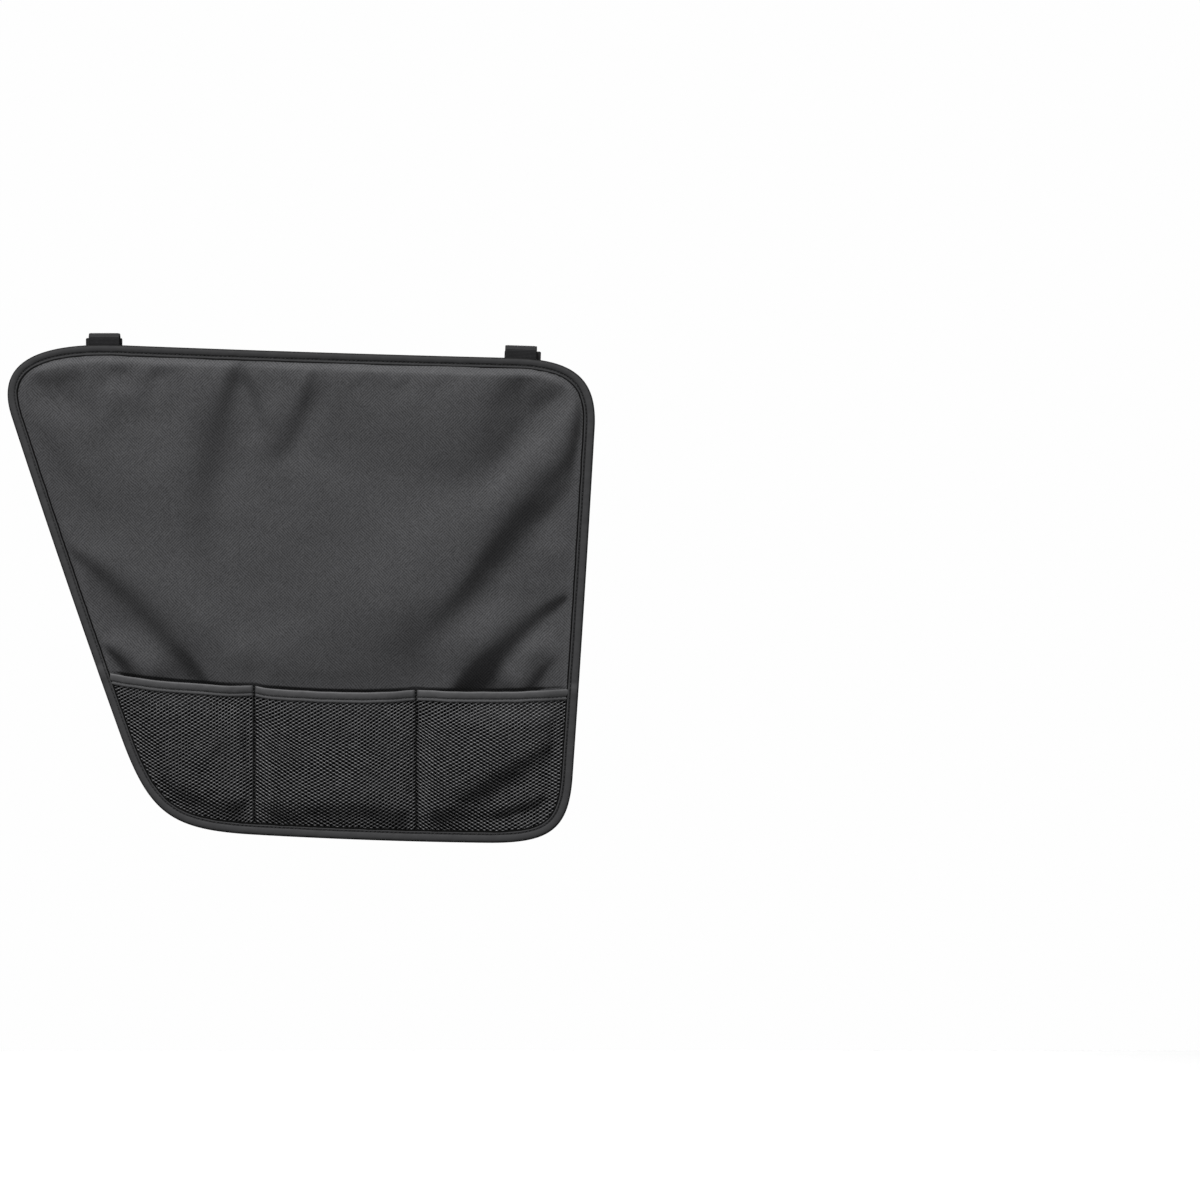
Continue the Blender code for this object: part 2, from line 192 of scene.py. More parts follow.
def edge_at(s):
    """Point and inward normal of the edge at arc length s."""
    s = np.mod(s, EDGE_LENGTH)
    grid = np.append(EDGE_S, EDGE_LENGTH)
    p = np.column_stack([np.interp(s, grid, np.append(EDGE[:, k], EDGE[0, k])) for k in (0, 1)])
    n = np.column_stack([np.interp(s, grid, np.append(EDGE_IN[:, k], EDGE_IN[0, k])) for k in (0, 1)])
    return p, n / np.linalg.norm(n, axis=1)[:, None]


def side_weights(n):
    """How much the edge there is a top, right, bottom or left edge."""
    return (np.clip(-n[:, 1], 0, 1) ** 2, np.clip(-n[:, 0], 0, 1) ** 2,
            np.clip(n[:, 1], 0, 1) ** 2, np.clip(n[:, 0], 0, 1) ** 2)


def tape_width(n):
    top, right, bottom, left = side_weights(n)
    return 11.0 * top + 11.4 * right + 11.2 * bottom + 10.0 * left


def waves(s, period, seed, octaves=4, loop=None):
    """Smooth wandering along a line, about -1 to 1."""
    r = np.random.RandomState(seed)
    out = np.zeros_like(np.asarray(s, float))
    total = 0.0
    for k in range(octaves):
        for _ in range(3):
            wave = period / (2 ** k) * r.uniform(0.75, 1.3)
            if loop:
                wave = loop / max(1, round(loop / wave))
            weight = 0.62 ** k
            out += weight * np.sin(2 * np.pi * s / wave + r.uniform(0, 2 * np.pi))
            total += weight * 0.6
    return out / total


def field(x, z, size, seed, octaves=3):
    """Smooth wandering over the plane, about -1 to 1."""
    r = np.random.RandomState(seed)
    out = np.zeros_like(np.asarray(x, float))
    total = 0.0
    for k in range(octaves):
        for _ in range(7):
            a = r.uniform(0, 2 * np.pi)
            f = 2 * np.pi / (size / 1.9 ** k * r.uniform(0.8, 1.25))
            weight = 0.55 ** k
            out += weight * np.sin((x * np.cos(a) + z * np.sin(a)) * f + r.uniform(0, 6.283))
            total += weight * 0.55
    return out / total * 1.3


# --------------------------------------------------------------- cloth folds
# Each flank of a fold follows a line of photograph pixels: x, y, slope and half
# width in pixels. The cloth steps down across the line, from its upper to its
# lower side, where the slope is positive, and up where it is negative. On both
# sides it comes back slowly to where it was.
FLANKS = (
    # the ridge from the upper right corner, and the flanks beside it
    ((590, 388, -.03, 4), (575, 404, -.08, 5), (552, 429, -.09, 6), (529, 453, -.10, 6),
     (508, 477, -.12, 7), (484, 502, -.08, 9), (456, 529, -.02, 12), (434, 550, -.0, 14)),
    ((584, 381, .16, 9), (562, 388, .38, 13), (539, 401, .38, 16), (519, 421, .38, 17),
     (503, 444, .32, 17), (487, 468, .18, 17), (468, 494, .0, 17)),
    ((566, 364, .14, 11), (538, 370, .40, 13), (512, 382, .45, 16), (494, 406, .42, 18),
     (482, 434, .28, 20), (469, 464, .14, 21), (452, 492, .0, 21)),
    ((592, 398, .36, 9), (585, 425, .52, 12), (576, 451, .54, 14), (561, 473, .52, 16),
     (544, 492, .53, 17), (526, 513, .56, 18), (506, 537, .63, 19), (486, 560, .71, 19),
     (466, 585, .73, 19), (444, 610, .62, 19), (419, 636, .40, 19), (394, 659, .18, 20),
     (368, 682, .0, 20)),
    # the cloth climbs from the tape between and beside them
    ((590, 390, .24, 7), (585, 412, .58, 10), (583, 435, .66, 12), (582, 459, .66, 11),
     (580, 480, .54, 9), (579, 500, .30, 8), (578, 516, .12, 7)),
    ((581, 500, .16, 8), (579, 528, .24, 9), (577, 556, .26, 9), (576, 580, .20, 8)),
    ((579, 584, .20, 6), (577, 596, .50, 6), (575, 606, .20, 6)),
    ((577, 642, .20, 6), (575, 656, .55, 6), (574, 667, .20, 6)),
    ((592, 474, .14, 5), (578, 484, .34, 6), (562, 496, .30, 7), (547, 511, .18, 8),
     (533, 528, .0, 8)),
    # the second and third folds at the right edge
    ((586, 592, .30, 5), (570, 599, .56, 5), (552, 608, .52, 6), (534, 622, .56, 10),
     (513, 641, .62, 12), (493, 659, .62, 13), (474, 676, .62, 12), (457, 694, .50, 13)),
    ((586, 646, .40, 5), (570, 658, .98, 6), (555, 669, 1.0, 9), (543, 680, 1.0, 11),
     (533, 695, .85, 12)),
    ((584, 625, .06, 4), (572, 636, .24, 6), (560, 650, .18, 7), (550, 664, .0, 7)),
    # the left edge
    ((56, 540, .24, 5), (70, 552, .38, 5), (86, 564, .38, 7), (108, 581, .39, 11),
     (131, 602, .42, 13), (153, 623, .47, 14), (174, 644, .54, 13), (192, 662, .64, 12),
     (205, 682, .66, 12), (214, 698, .40, 12)),
    ((86, 636, .20, 4), (99, 645, .52, 4), (113, 655, .60, 6), (126, 667, .62, 8),
     (136, 682, .45, 10)),
    ((28, 418, .04, 7), (44, 436, .14, 9), (58, 456, .12, 10), (78, 482, .12, 11),
     (96, 504, .08, 11), (116, 530, .0, 11)),
    # the cloth turns away between the folds, towards the right edge
    ((606, 520, .10, 24), (580, 560, .24, 28), (540, 592, .28, 30), (500, 628, .34, 32),
     (468, 690, .20, 30)),
    ((592, 612, .10, 8), (575, 625, .26, 9), (556, 641, .32, 10), (537, 657, .46, 11),
     (518, 678, .20, 10)),
    # drops from the top edge
    ((237, 362, .20, 5), (231, 380, .41, 10), (226, 401, .38, 15), (217, 430, .34, 19),
     (212, 460, .35, 19), (207, 492, .31, 21), (203, 530, .27, 21), (204, 566, .23, 20),
     (211, 598, .24, 17), (219, 628, .24, 15), (228, 656, .08, 14)),
    ((242, 364, .10, 3), (248, 380, .42, 5), (254, 398, .48, 5), (259, 416, .40, 5), (262, 436, .06, 6)),
    ((272, 376, -.04, 6), (273, 400, -.16, 8), (268, 428, -.16, 10), (246, 462, -.14, 13),
     (232, 500, -.10, 16), (226, 540, -.02, 18)),
    ((317, 362, .10, 4), (312, 378, .32, 5), (307, 396, .38, 7), (300, 414, .36, 8),
     (293, 432, .28, 10), (286, 448, .20, 11), (280, 464, .0, 12)),
    ((334, 380, -.03, 5), (327, 402, -.18, 7), (317, 426, -.18, 9), (306, 452, -.08, 11),
     (298, 474, .0, 12)),
    # short dips that the top seam draws in
    ((46, 384, .03, 7), (62, 378, .20, 8), (76, 376, .22, 8), (92, 380, .04, 8)),
    ((103, 377, .03, 4), (113, 370, .22, 5), (124, 370, .18, 5), (133, 374, .03, 5)),
    ((100, 394, -.03, 5), (113, 388, -.20, 6), (128, 390, -.18, 6), (140, 396, -.02, 5)),
    ((148, 382, .04, 4), (157, 373, .26, 6), (169, 371, .22, 6), (181, 372, .02, 6)),
    ((197, 386, .02, 4), (205, 378, .08, 5), (213, 374, .0, 5)),
    ((352, 390, .02, 4), (359, 382, .17, 5), (368, 376, .15, 5), (376, 373, .0, 5)),
    ((378, 387, .02, 4), (384, 379, .10, 4), (390, 374, .0, 4)),
    ((396, 392, .02, 4), (402, 384, .18, 5), (409, 377, .08, 5), (415, 372, .0, 5)),
    ((430, 394, .02, 4), (438, 386, .17, 5), (447, 380, .14, 5), (456, 375, .0, 5)),
    ((472, 391, .02, 4), (478, 384, .09, 4), (485, 378, .0, 4)),
    # the upper left corner
    ((26, 372, .10, 8), (44, 380, .20, 9), (62, 391, .16, 11), (84, 404, .04, 12)),
    ((18, 404, -.0, 8), (45, 408, -.07, 10), (72, 418, -.07, 12), (98, 432, -.0, 12)),
    ((130, 392, .02, 8), (120, 412, .12, 10), (108, 436, .10, 12), (98, 460, .01, 12)),
    # the middle hangs a little fuller above the pockets
    ((272, 672, .03, 8), (304, 676, .10, 9), (350, 678, .10, 9), (398, 674, .03, 8)),
)


UPPER_TAIL, LOWER_TAIL = 3.6, 5.0


def flank_height(lines, x, z):
    """Height that the given flanks add, in mm towards the viewer."""
    x, z = np.asarray(x, float), np.asarray(z, float)
    total = np.zeros_like(x)
    for line in lines:
        line = np.array(line, float)
        px, pz = pix(line[:, 0], line[:, 1])
        t = np.arange(len(line))
        fine = np.linspace(0, len(line) - 1, 10 * (len(line) - 1) + 1)
        fx, fz, fa, fw = [hermite(np.column_stack([t, c]), fine)
                          for c in (px, pz, line[:, 2], line[:, 3] * PX)]
        fa = np.where(fa > 0, 1.35, 1.1) * fa
        fw = fw * np.where(fw > 5.0, 1.5, 1.25)
        # which side is the lower one
        cx, cz = px[-1] - px[0], pz[-1] - pz[0]
        sign = 1.0 if cx < 0 or (cx == 0 and cz < 0) else -1.0
        reach = fw.max() * 14.0
        ok = ((x > fx.min() - reach) & (x < fx.max() + reach)
              & (z > fz.min() - reach) & (z < fz.max() + reach))
        if not ok.any():
            continue
        qx, qz = x[ok], z[ok]
        low, high, weight = (np.zeros_like(qx) for _ in range(3))
        for k in range(len(fx) - 1):
            ax, az = fx[k], fz[k]
            bx, bz = fx[k + 1] - ax, fz[k + 1] - az
            length = math.hypot(bx, bz)
            u = ((qx - ax) * bx + (qz - az) * bz) / length ** 2
            uc = np.clip(u, 0, 1)
            dist = np.hypot(qx - ax - uc * bx, qz - az - uc * bz)
            across = (bx * (qz - az) - bz * (qx - ax)) / length   # positive on the left
            past = np.maximum(np.maximum(-u, u - 1), 0) * length
            ww = fw[k] + (fw[k + 1] - fw[k]) * uc
            r = across / ww
            tail = np.where(sign * r > 0, LOWER_TAIL, UPPER_TAIL)
            step = (fa[k] + (fa[k + 1] - fa[k]) * uc) * ww * np.tanh(r) * np.exp(-np.abs(r) / tail)
            step *= np.exp(-(past / (1.1 * ww)) ** 2)
            # a point takes after the parts of the line that are near it
            near = (dist * dist + 1.0) ** -3
            low += near * step
            high += near * step * np.tanh(r)
            weight += near
        # left of the direction is the lower side on lines that run to the left
        total[ok] += (-sign * low + 0.25 * high) / weight
    return total


def cloth_height(x, z):
    d, s = depth_in(x, z)
    p, n = edge_at(np.ravel(s))
    top, right, bottom, left = [w.reshape(np.shape(d)) for w in side_weights(n)]
    inner = tape_width(n).reshape(np.shape(d)) + 0.3 * top + 1.4 * (1 - top)
    free = np.maximum(d - inner, 0.0)
    # slack cloth: it stands off the tapes, steeply under the top one
    deep = np.clip(1 + 0.42 * waves(s, 58.0, 8, octaves=2, loop=EDGE_LENGTH), 0.55, 1.7)
    corner = smooth01((x - 190.0) / 30.0)
    swell = 3.4 * (top * deep * (1 - 0.30 * corner) * (1 - np.exp(-free / (10.0 * deep)))
                   + (1 - top) * smooth01((free + 3.0) / 48.0))
    swell = swell + (3.4 - swell) * smooth01((free - 30.0) / 45.0)
    # short puckers that the stitching draws in
    pucker = (waves(s, 46.0, 3, loop=EDGE_LENGTH) * (0.34 * top + 0.12 * (1 - top))
              + waves(s, 17.0, 4, octaves=2, loop=EDGE_LENGTH) * (0.16 * top + 0.07 * (1 - top)))
    pucker *= (1 - np.exp(-free / 3.0)) * np.exp(-free / 22.0)
    loose = smooth01(free / 26.0)
    body = flank_height(FLANKS, x, z)
    # beside the side tapes it only stands off, it doesn't sink in
    held = (1 - top) * (1 - smooth01((free - 1.0) / (7.0 + 31.0 * smooth01((z + 285.0) / 50.0))))
    body = 0.5 * (body + np.sqrt(body * body + 2.0)) * smooth01(free / (8.0 * top + 6.0 * (1 - top))) \
        + 0.5 * (body - np.sqrt(body * body + 2.0)) * smooth01(free / 8.0) * (1 - held)
    body -= 7.5 * np.exp(-((x - 232.0) / 110.0) ** 2 - ((z + 222.0) / 120.0) ** 2) * smooth01(free / 50.0)
    body += field(x, z, 120.0, 11) * 0.55 * loose
    body += field(x, z, 34.0, 12, octaves=2) * 0.09 * loose
    # behind the pockets the panel lies flat
    under = smooth01((mouth_z(x) - 6.0 - z) / 40.0)
    h = (swell + body) * (1 - under * 0.85) + pucker
    # not too deep, and no fuller than the pockets' mouths leave room for
    floor = 3.0 + 11.0 * smooth01((-z - 70.0) / 60.0) * smooth01(free / 30.0)
    floor = floor - (floor - 0.8) * held
    at_mouth = 3.4 + 0.6 * np.interp(x, MOUTH_X, MOUTH_RISE)
    cap = at_mouth + (20.5 - at_mouth) * smooth01((z - mouth_z(x) - 2.0) / 100.0)
    limit = np.where(h < 0, floor, cap)
    return h / (1 + (h / limit) ** 4) ** 0.25


# ------------------------------------------------------------- pocket shape
# Slanting pulls in the pockets' mesh, given as the cloth's flanks are.
POCKET_FLANKS = (
    ((572, 738, .10, 9), (542, 751, .38, 14), (516, 767, .47, 16), (492, 783, .47, 16),
     (466, 799, .36, 12), (442, 812, .14, 8)),
    ((580, 700, .10, 6), (562, 712, .36, 8), (542, 724, .30, 9), (520, 738, .06, 8)),
    ((570, 790, .05, 6), (544, 800, .26, 7), (514, 808, .26, 7), (486, 818, .04, 6)),
    ((248, 700, .06, 6), (243, 726, .30, 8), (240, 752, .32, 8), (236, 780, .08, 7)),
    ((400, 796, .03, 7), (360, 802, .10, 8), (318, 800, .08, 8), (286, 794, .02, 7)),
    ((196, 700, .05, 7), (178, 716, .22, 8), (156, 734, .16, 8), (138, 748, .03, 7)),
    ((238, 716, .10, 6), (220, 744, .26, 8), (200, 772, .24, 8), (180, 796, .08, 7)),
    ((404, 726, .05, 6), (396, 752, .24, 7), (390, 780, .20, 7), (384, 800, .03, 6)),
)


def pocket_rise(x, z):
    """How far the mesh stands off its hem's level, in mm."""
    x = np.asarray(x, float)
    zc = np.minimum(z, mouth_z(x) - 13.0)
    d, _ = depth_in(x, zc)
    side = smooth01((d - 11.8) / 31.0) ** 0.85
    rise = 10.3 * side
    taut = 1 - smooth01((mouth_z(x) - zc - 13.0) / 40.0)
    for divider in DIVIDERS:
        away = np.abs(x - divider)
        reach = np.where(x < divider, 16.0, 21.0) + 22.0 * taut
        rise = rise * (0.10 + 0.90 * smooth01((away - 0.6) / reach) ** 0.75)
        rise = rise + 1.8 * (1 - taut) * side * np.exp(-((x - divider + 20.0) / 9.0) ** 2)
    drop = mouth_z(x) - zc
    slack = smooth01((drop - 14.0) / 30.0) * smooth01(rise / 6.0)
    rise = rise + slack * (field(x, zc, 62.0, 21, octaves=2) * 0.75)
    rise = rise + slack * flank_height(POCKET_FLANKS, x, zc)
    # no fuller than the widest pocket
    rise = np.maximum(rise, 0.0)
    return rise / (1 + (rise / 18.5) ** 6) ** (1 / 6)


MOUTH_X = np.arange(-236.0, 292.0, 2.0)
MOUTH_RISE = pocket_rise(MOUTH_X, mouth_z(MOUTH_X) - 13.0)


# ---------------------------------------------------------------- materials
class Mat:
    """A small hand for writing node materials."""

    def __init__(self, name, colour, roughness, **sockets):
        self.mat = bpy.data.materials.new(name)
        self.mat.use_nodes = True
        self.tree = self.mat.node_tree
        self.shader = self.tree.nodes["Principled BSDF"]
        self.shader.inputs["Base Color"].default_value = (*colour, 1)
        self.shader.inputs["Roughness"].default_value = roughness
        for key, value in sockets.items():
            self.shader.inputs[key.replace("_", " ")].default_value = value
        self._where = None

    def add(self, kind, **props):
        node = self.tree.nodes.new(kind)
        for key, value in props.items():
            setattr(node, key, value)
        return node

    def link(self, out, socket):
        if isinstance(out, (int, float)):
            socket.default_value = out
        else:
            self.tree.links.new(out, socket)

    @property
    def where(self):
        if self._where is None:
            self._where = self.add("ShaderNodeTexCoord").outputs["Object"]
        return self._where

    def attribute(self, name, vector=False):
        node = self.add("ShaderNodeAttribute", attribute_name=name)
        return node.outputs["Vector" if vector else "Fac"]

    def math(self, op, a, b=0.0, c=0.0, clamp=False):
        node = self.add("ShaderNodeMath", operation=op, use_clamp=clamp)
        for value, socket in zip((a, b, c), node.inputs):
            self.link(value, socket)
        return node.outputs[0]

    def along(self, direction, source=None):
        """Dot product of the place (m) with a direction, as a number in mm."""
        node = self.add("ShaderNodeVectorMath", operation="DOT_PRODUCT")
        self.link(source or self.where, node.inputs[0])
        node.inputs[1].default_value = [1000.0 * v for v in direction]
        return node.outputs["Value"]

    def wave(self, phase_mm, period):
        """0 to 1 wave of a number in mm."""
        s = self.math("SINE", self.math("MULTIPLY", phase_mm, 2 * math.pi / period))
        return self.math("MULTIPLY_ADD", s, 0.5, 0.5)

    def noise(self, size_mm, detail=2.0, rough=0.5, stretch=(1, 1, 1)):
        mapping = self.add("ShaderNodeMapping")
        self.link(self.where, mapping.inputs["Vector"])
        mapping.inputs["Scale"].default_value = stretch
        node = self.add("ShaderNodeTexNoise")
        self.link(mapping.outputs[0], node.inputs["Vector"])
        node.inputs["Scale"].default_value = 1000.0 / size_mm
        node.inputs["Detail"].default_value = detail
        node.inputs["Roughness"].default_value = rough
        return node.outputs["Fac"]

    def span(self, value, a, b, lo, hi, clamp=True):
        node = self.add("ShaderNodeMapRange", clamp=clamp)
        self.link(value, node.inputs["Value"])
        for key, v in (("From Min", a), ("From Max", b), ("To Min", lo), ("To Max", hi)):
            node.inputs[key].default_value = v
        return node.outputs["Result"]

    def colour(self, base, factor):
        """Base colour times a factor."""
        node = self.add("ShaderNodeVectorMath", operation="SCALE")
        node.inputs[0].default_value = base
        self.link(factor, node.inputs["Scale"])
        self.tree.links.new(node.outputs["Vector"], self.shader.inputs["Base Color"])

    def bump(self, height, distance_mm, strength=1.0):
        node = self.add("ShaderNodeBump")
        node.inputs["Strength"].default_value = strength
        node.inputs["Distance"].default_value = distance_mm * MM
        self.link(height, node.inputs["Height"])
        self.tree.links.new(node.outputs["Normal"], self.shader.inputs["Normal"])

    def roughness(self, value):
        self.link(value, self.shader.inputs["Roughness"])


def cloth_material(name, colour, rough, weave_depth, contrast, sheen):
    """Plain-woven polyester: threads cross on the bias of the frame's axes."""
    m = Mat(name, colour, rough, Sheen_Weight=sheen, Sheen_Roughness=0.45,
            Specular_IOR_Level=0.28)
    wander = m.math("ADD", m.math("MULTIPLY", m.noise(26.0, 2.0), 3.2),
                    m.math("MULTIPLY", m.noise(6.0, 1.0), 1.3))
    rise = m.math("ADD", m.along((0.7071, 0, 0.7071)), wander)
    fall = m.math("ADD", m.along((0.7071, 0, -0.7071)), wander)
    a = m.wave(rise, 2.45)
    b = m.wave(fall, 2.45)
    lean = m.span(m.noise(17.0, 1.0), 0.40, 0.60, 0.14, 0.86)
    mix = m.math("ADD", m.math("MULTIPLY", a, lean),
                 m.math("MULTIPLY", b, m.math("SUBTRACT", 1.0, lean)))
    warp = m.wave(m.along((1, 0, 0)), 0.62)
    weft = m.wave(m.along((0, 0, 1)), 0.58)
    thread = m.math("MULTIPLY", warp, weft)
    slub = m.noise(1.3, 2.0, 0.6, stretch=(1, 1, 0.3))       # thick and thin along the warp
    weft_slub = m.noise(1.2, 2.0, 0.6, stretch=(0.3, 1, 1))  # and along the weft
    height = m.math("ADD", m.math("MULTIPLY", mix, 0.55),
                    m.math("ADD", m.math("MULTIPLY", thread, 0.3), m.math("MULTIPLY", slub, 0.5)))
    shade = m.math("ADD", m.span(mix, 0, 1, 1 - contrast, 1 + contrast, clamp=False),
                   m.math("ADD", m.span(slub, 0.3, 0.7, -0.20, 0.20),
                          m.span(weft_slub, 0.3, 0.7, -0.16, 0.16)))
    shade = m.math("MULTIPLY", shade, m.span(m.noise(85.0, 3.0), 0.3, 0.7, 0.95, 1.05))
    shade = m.math("MULTIPLY", shade, m.span(m.noise(6.0, 3.0, 0.6), 0.3, 0.7, 0.96, 1.04))
    return m, height, shade


def panel_front_material():
    m, height, shade = cloth_material("panel_cloth", (0.0675, 0.0675, 0.0706), 0.74, 0.12, 0.37, 0.15)
    # painted shade: behind the mesh the cloth is darkened nearly to black, as the shade there
    shade = m.math("MULTIPLY", shade, m.span(m.attribute("pocket_shade"), 0, 1, 1.0, 0.12))
    # a little paler in a narrow band beside the tape
    shade = m.math("MULTIPLY", shade, m.span(m.attribute("tape_side_band"), 0, 1, 1.0, 1.07))
    m.colour((0.0675, 0.0675, 0.0706), shade)
    m.bump(height, 0.16, 0.8)
    m.roughness(m.span(m.noise(14.0, 2.0), 0.3, 0.7, 0.70, 0.80))
    return m.mat


def panel_covered_material():
    """The same cloth behind the mesh, painted nearly black as the shade behind the mesh."""
    m, height, shade = cloth_material("panel_cloth_covered", (0.007, 0.007, 0.0075), 0.95, 0.12, 0.2, 0.0)
    m.shader.inputs["Specular IOR Level"].default_value = 0.06
    m.colour((0.007, 0.007, 0.0075), shade)
    m.bump(height, 0.16, 0.8)
    return m.mat


def panel_back_material():
    """The coated side: darker, smoother, with the weave showing through."""
    m = Mat("panel_coating", (0.020, 0.020, 0.022), 0.46, Specular_IOR_Level=0.45,
            Coat_Weight=0.12, Coat_Roughness=0.35)
    warp = m.wave(m.along((1, 0, 0)), 1.25)
    weft = m.wave(m.along((0, 0, 1)), 1.15)
    cloud = m.noise(30.0, 4.0, 0.6)
    grain = m.noise(1.6, 2.0, 0.5)
    height = m.math("ADD", m.math("MULTIPLY", m.math("MULTIPLY", warp, weft), 0.6),
                    m.math("ADD", m.math("MULTIPLY", grain, 0.35), m.math("MULTIPLY", cloud, 0.5)))
    m.colour((0.020, 0.020, 0.022), m.span(cloud, 0.3, 0.7, 0.86, 1.14))
    m.bump(height, 0.10, 0.6)
    m.roughness(m.span(m.noise(22.0, 3.0), 0.3, 0.7, 0.40, 0.54))
    return m.mat


def tape_material(name, colour, rough=0.62, rib=0.9, sheen=0.3, contrast=0.10, shade_factor=0.20,
                  edge_shade_factor=0.36, gloss=0.3):
    """Woven binding: fine ribs across the tape, drawn by the along attribute."""
    m = Mat(name, colour, rough, Sheen_Weight=sheen, Sheen_Roughness=0.4,
            Specular_IOR_Level=gloss)
    run = m.attribute("along")
    over = m.attribute("across")
    jitter = m.math("MULTIPLY", m.noise(5.0, 2.0), 1.6)
    rib_wave = m.wave(m.math("ADD", run, jitter), rib)
    grain_wave = m.wave(over, 0.8)
    speck = m.noise(1.1, 2.0, 0.6)
    height = m.math("ADD", m.math("MULTIPLY", rib_wave, 0.5),
                    m.math("ADD", m.math("MULTIPLY", grain_wave, 0.25), m.math("MULTIPLY", speck, 0.4)))
    shade = m.math("MULTIPLY", m.span(rib_wave, 0, 1, 1 - contrast, 1 + contrast),
                   m.span(m.noise(12.0, 3.0, 0.6), 0.3, 0.7, 0.93, 1.07))
    # painted shade: the tape is darkened where its shade falls, in the needle line, beside the lip, in the
    # notches and along the outer fold
    shade = m.math("MULTIPLY", shade, m.span(m.attribute("painted_shade"), 0, 1, 1.0, shade_factor))
    shade = m.math("MULTIPLY", shade, m.span(m.attribute("rim"), 0, 1, 1.0, edge_shade_factor))
    m.colour(colour, shade)
    m.bump(height, 0.10, 0.7)
    m.roughness(m.span(speck, 0.3, 0.7, rough - 0.05, rough + 0.06))
    return m.mat


def mesh_material():
    m = Mat("pocket_mesh", (0.160, 0.160, 0.165), 0.42, Specular_IOR_Level=0.5,
            Sheen_Weight=0.2, Sheen_Roughness=0.35)
    twist = m.wave(m.math("ADD", m.along((0.8, 0, 0.6)), m.math("MULTIPLY", m.noise(3.0), 2.0)), 0.55)
    fuzz = m.noise(0.8, 2.0, 0.6)
    height = m.math("ADD", m.math("MULTIPLY", twist, 0.6), m.math("MULTIPLY", fuzz, 0.4))
    # painted light: strand crests painted bright, their rims and backs dark as their shade
    shade = m.math("MULTIPLY", m.span(m.attribute("painted_strand_light"), 0, 1, 0.02, 2.1),
                   m.span(m.noise(40.0, 3.0), 0.3, 0.7, 0.92, 1.08))
    m.colour((0.160, 0.160, 0.165), shade)
    m.bump(height, 0.08, 0.6)
    m.roughness(m.span(fuzz, 0.3, 0.7, 0.36, 0.50))
    return m.mat


def thread_material(name, colour, gloss=0.45, sheen=0.15):
    m = Mat(name, colour, 0.48, Specular_IOR_Level=gloss, Sheen_Weight=sheen)
    ply_and_shadow_strip = m.wave(m.math("ADD", m.along((0.7, 0.3, 0.6)), m.math("MULTIPLY", m.noise(2.0), 1.5)), 0.42)
    m.colour(colour, m.span(ply_and_shadow_strip, 0, 1, 0.75, 1.2))
    m.bump(ply_and_shadow_strip, 0.06, 0.7)
    m.roughness(m.span(m.noise(2.0), 0.3, 0.7, 0.42, 0.56))
    return m.mat


def webbing_material():
    m = Mat("webbing", (0.024, 0.024, 0.0255), 0.62, Specular_IOR_Level=0.16, Sheen_Weight=0.04,
            Sheen_Roughness=0.4)
    run = m.attribute("along")
    over = m.attribute("across")
    row = m.wave(run, 1.5)
    cord = m.wave(m.math("ADD", over, m.math("MULTIPLY", row, 0.45)), 1.35)
    fuzz = m.noise(0.9, 2.0, 0.6)
    height = m.math("ADD", m.math("MULTIPLY", m.math("MULTIPLY", row, cord), 0.8),
                    m.math("MULTIPLY", fuzz, 0.3))
    m.colour((0.024, 0.024, 0.0255), m.math("MULTIPLY", m.span(m.math("MULTIPLY", row, cord), 0, 1, 0.7, 1.25),
                                           m.span(m.noise(9.0, 3.0), 0.3, 0.7, 0.9, 1.1)))
    m.bump(height, 0.25, 0.8)
    m.roughness(m.span(fuzz, 0.3, 0.7, 0.52, 0.66))
    return m.mat


def plastic_material():
    m = Mat("plate_plastic", (0.012, 0.012, 0.013), 0.42, Specular_IOR_Level=0.5)
    grain = m.noise(0.55, 3.0, 0.6)
    flow = m.noise(18.0, 3.0, 0.5, stretch=(1, 1, 0.25))
    scuff = m.noise(7.0, 5.0, 0.7, stretch=(0.3, 1, 1.6))
    m.colour((0.012, 0.012, 0.013), m.math("MULTIPLY", m.span(flow, 0.3, 0.7, 0.9, 1.12),
                                           m.span(scuff, 0.6, 0.8, 1.0, 1.5)))
    m.bump(m.math("ADD", grain, m.math("MULTIPLY", scuff, 0.4)), 0.05, 0.6)
    m.roughness(m.span(scuff, 0.3, 0.75, 0.38, 0.58))
    return m.mat


def stage_material(name, shade):
    """Pale to look at, but it throws little light back up at the object."""
    m = Mat(name, (shade, shade, shade), 0.9, Specular_IOR_Level=0.1)
    path = m.add("ShaderNodeLightPath")
    m.colour((shade, shade, shade), m.span(path.outputs["Is Camera Ray"], 0, 1, 0.22, 1.0))
    return m.mat


PANEL_FRONT = panel_front_material()
PANEL_POCKET_SHADE = panel_covered_material()
PANEL_BACK = panel_back_material()
EDGE_TAPE = tape_material("edge_tape", (0.063, 0.063, 0.065), sheen=0.04, shade_factor=0.07,
                          edge_shade_factor=0.04, gloss=0.10)
POCKET_TAPE_MAT = tape_material("pocket_tape", (0.095, 0.095, 0.098), 0.55, sheen=0.35, shade_factor=0.28)
MESH_MAT = mesh_material()
THREAD = thread_material("thread", (0.020, 0.020, 0.022))
# painted shade: a darker, duller copy of the thread for the divider seams, which lie in shade
THREAD_IN_SHADE = thread_material("divider_thread", (0.006, 0.006, 0.0065), 0.12, 0.0)
WEBBING = webbing_material()
PLASTIC = plastic_material()


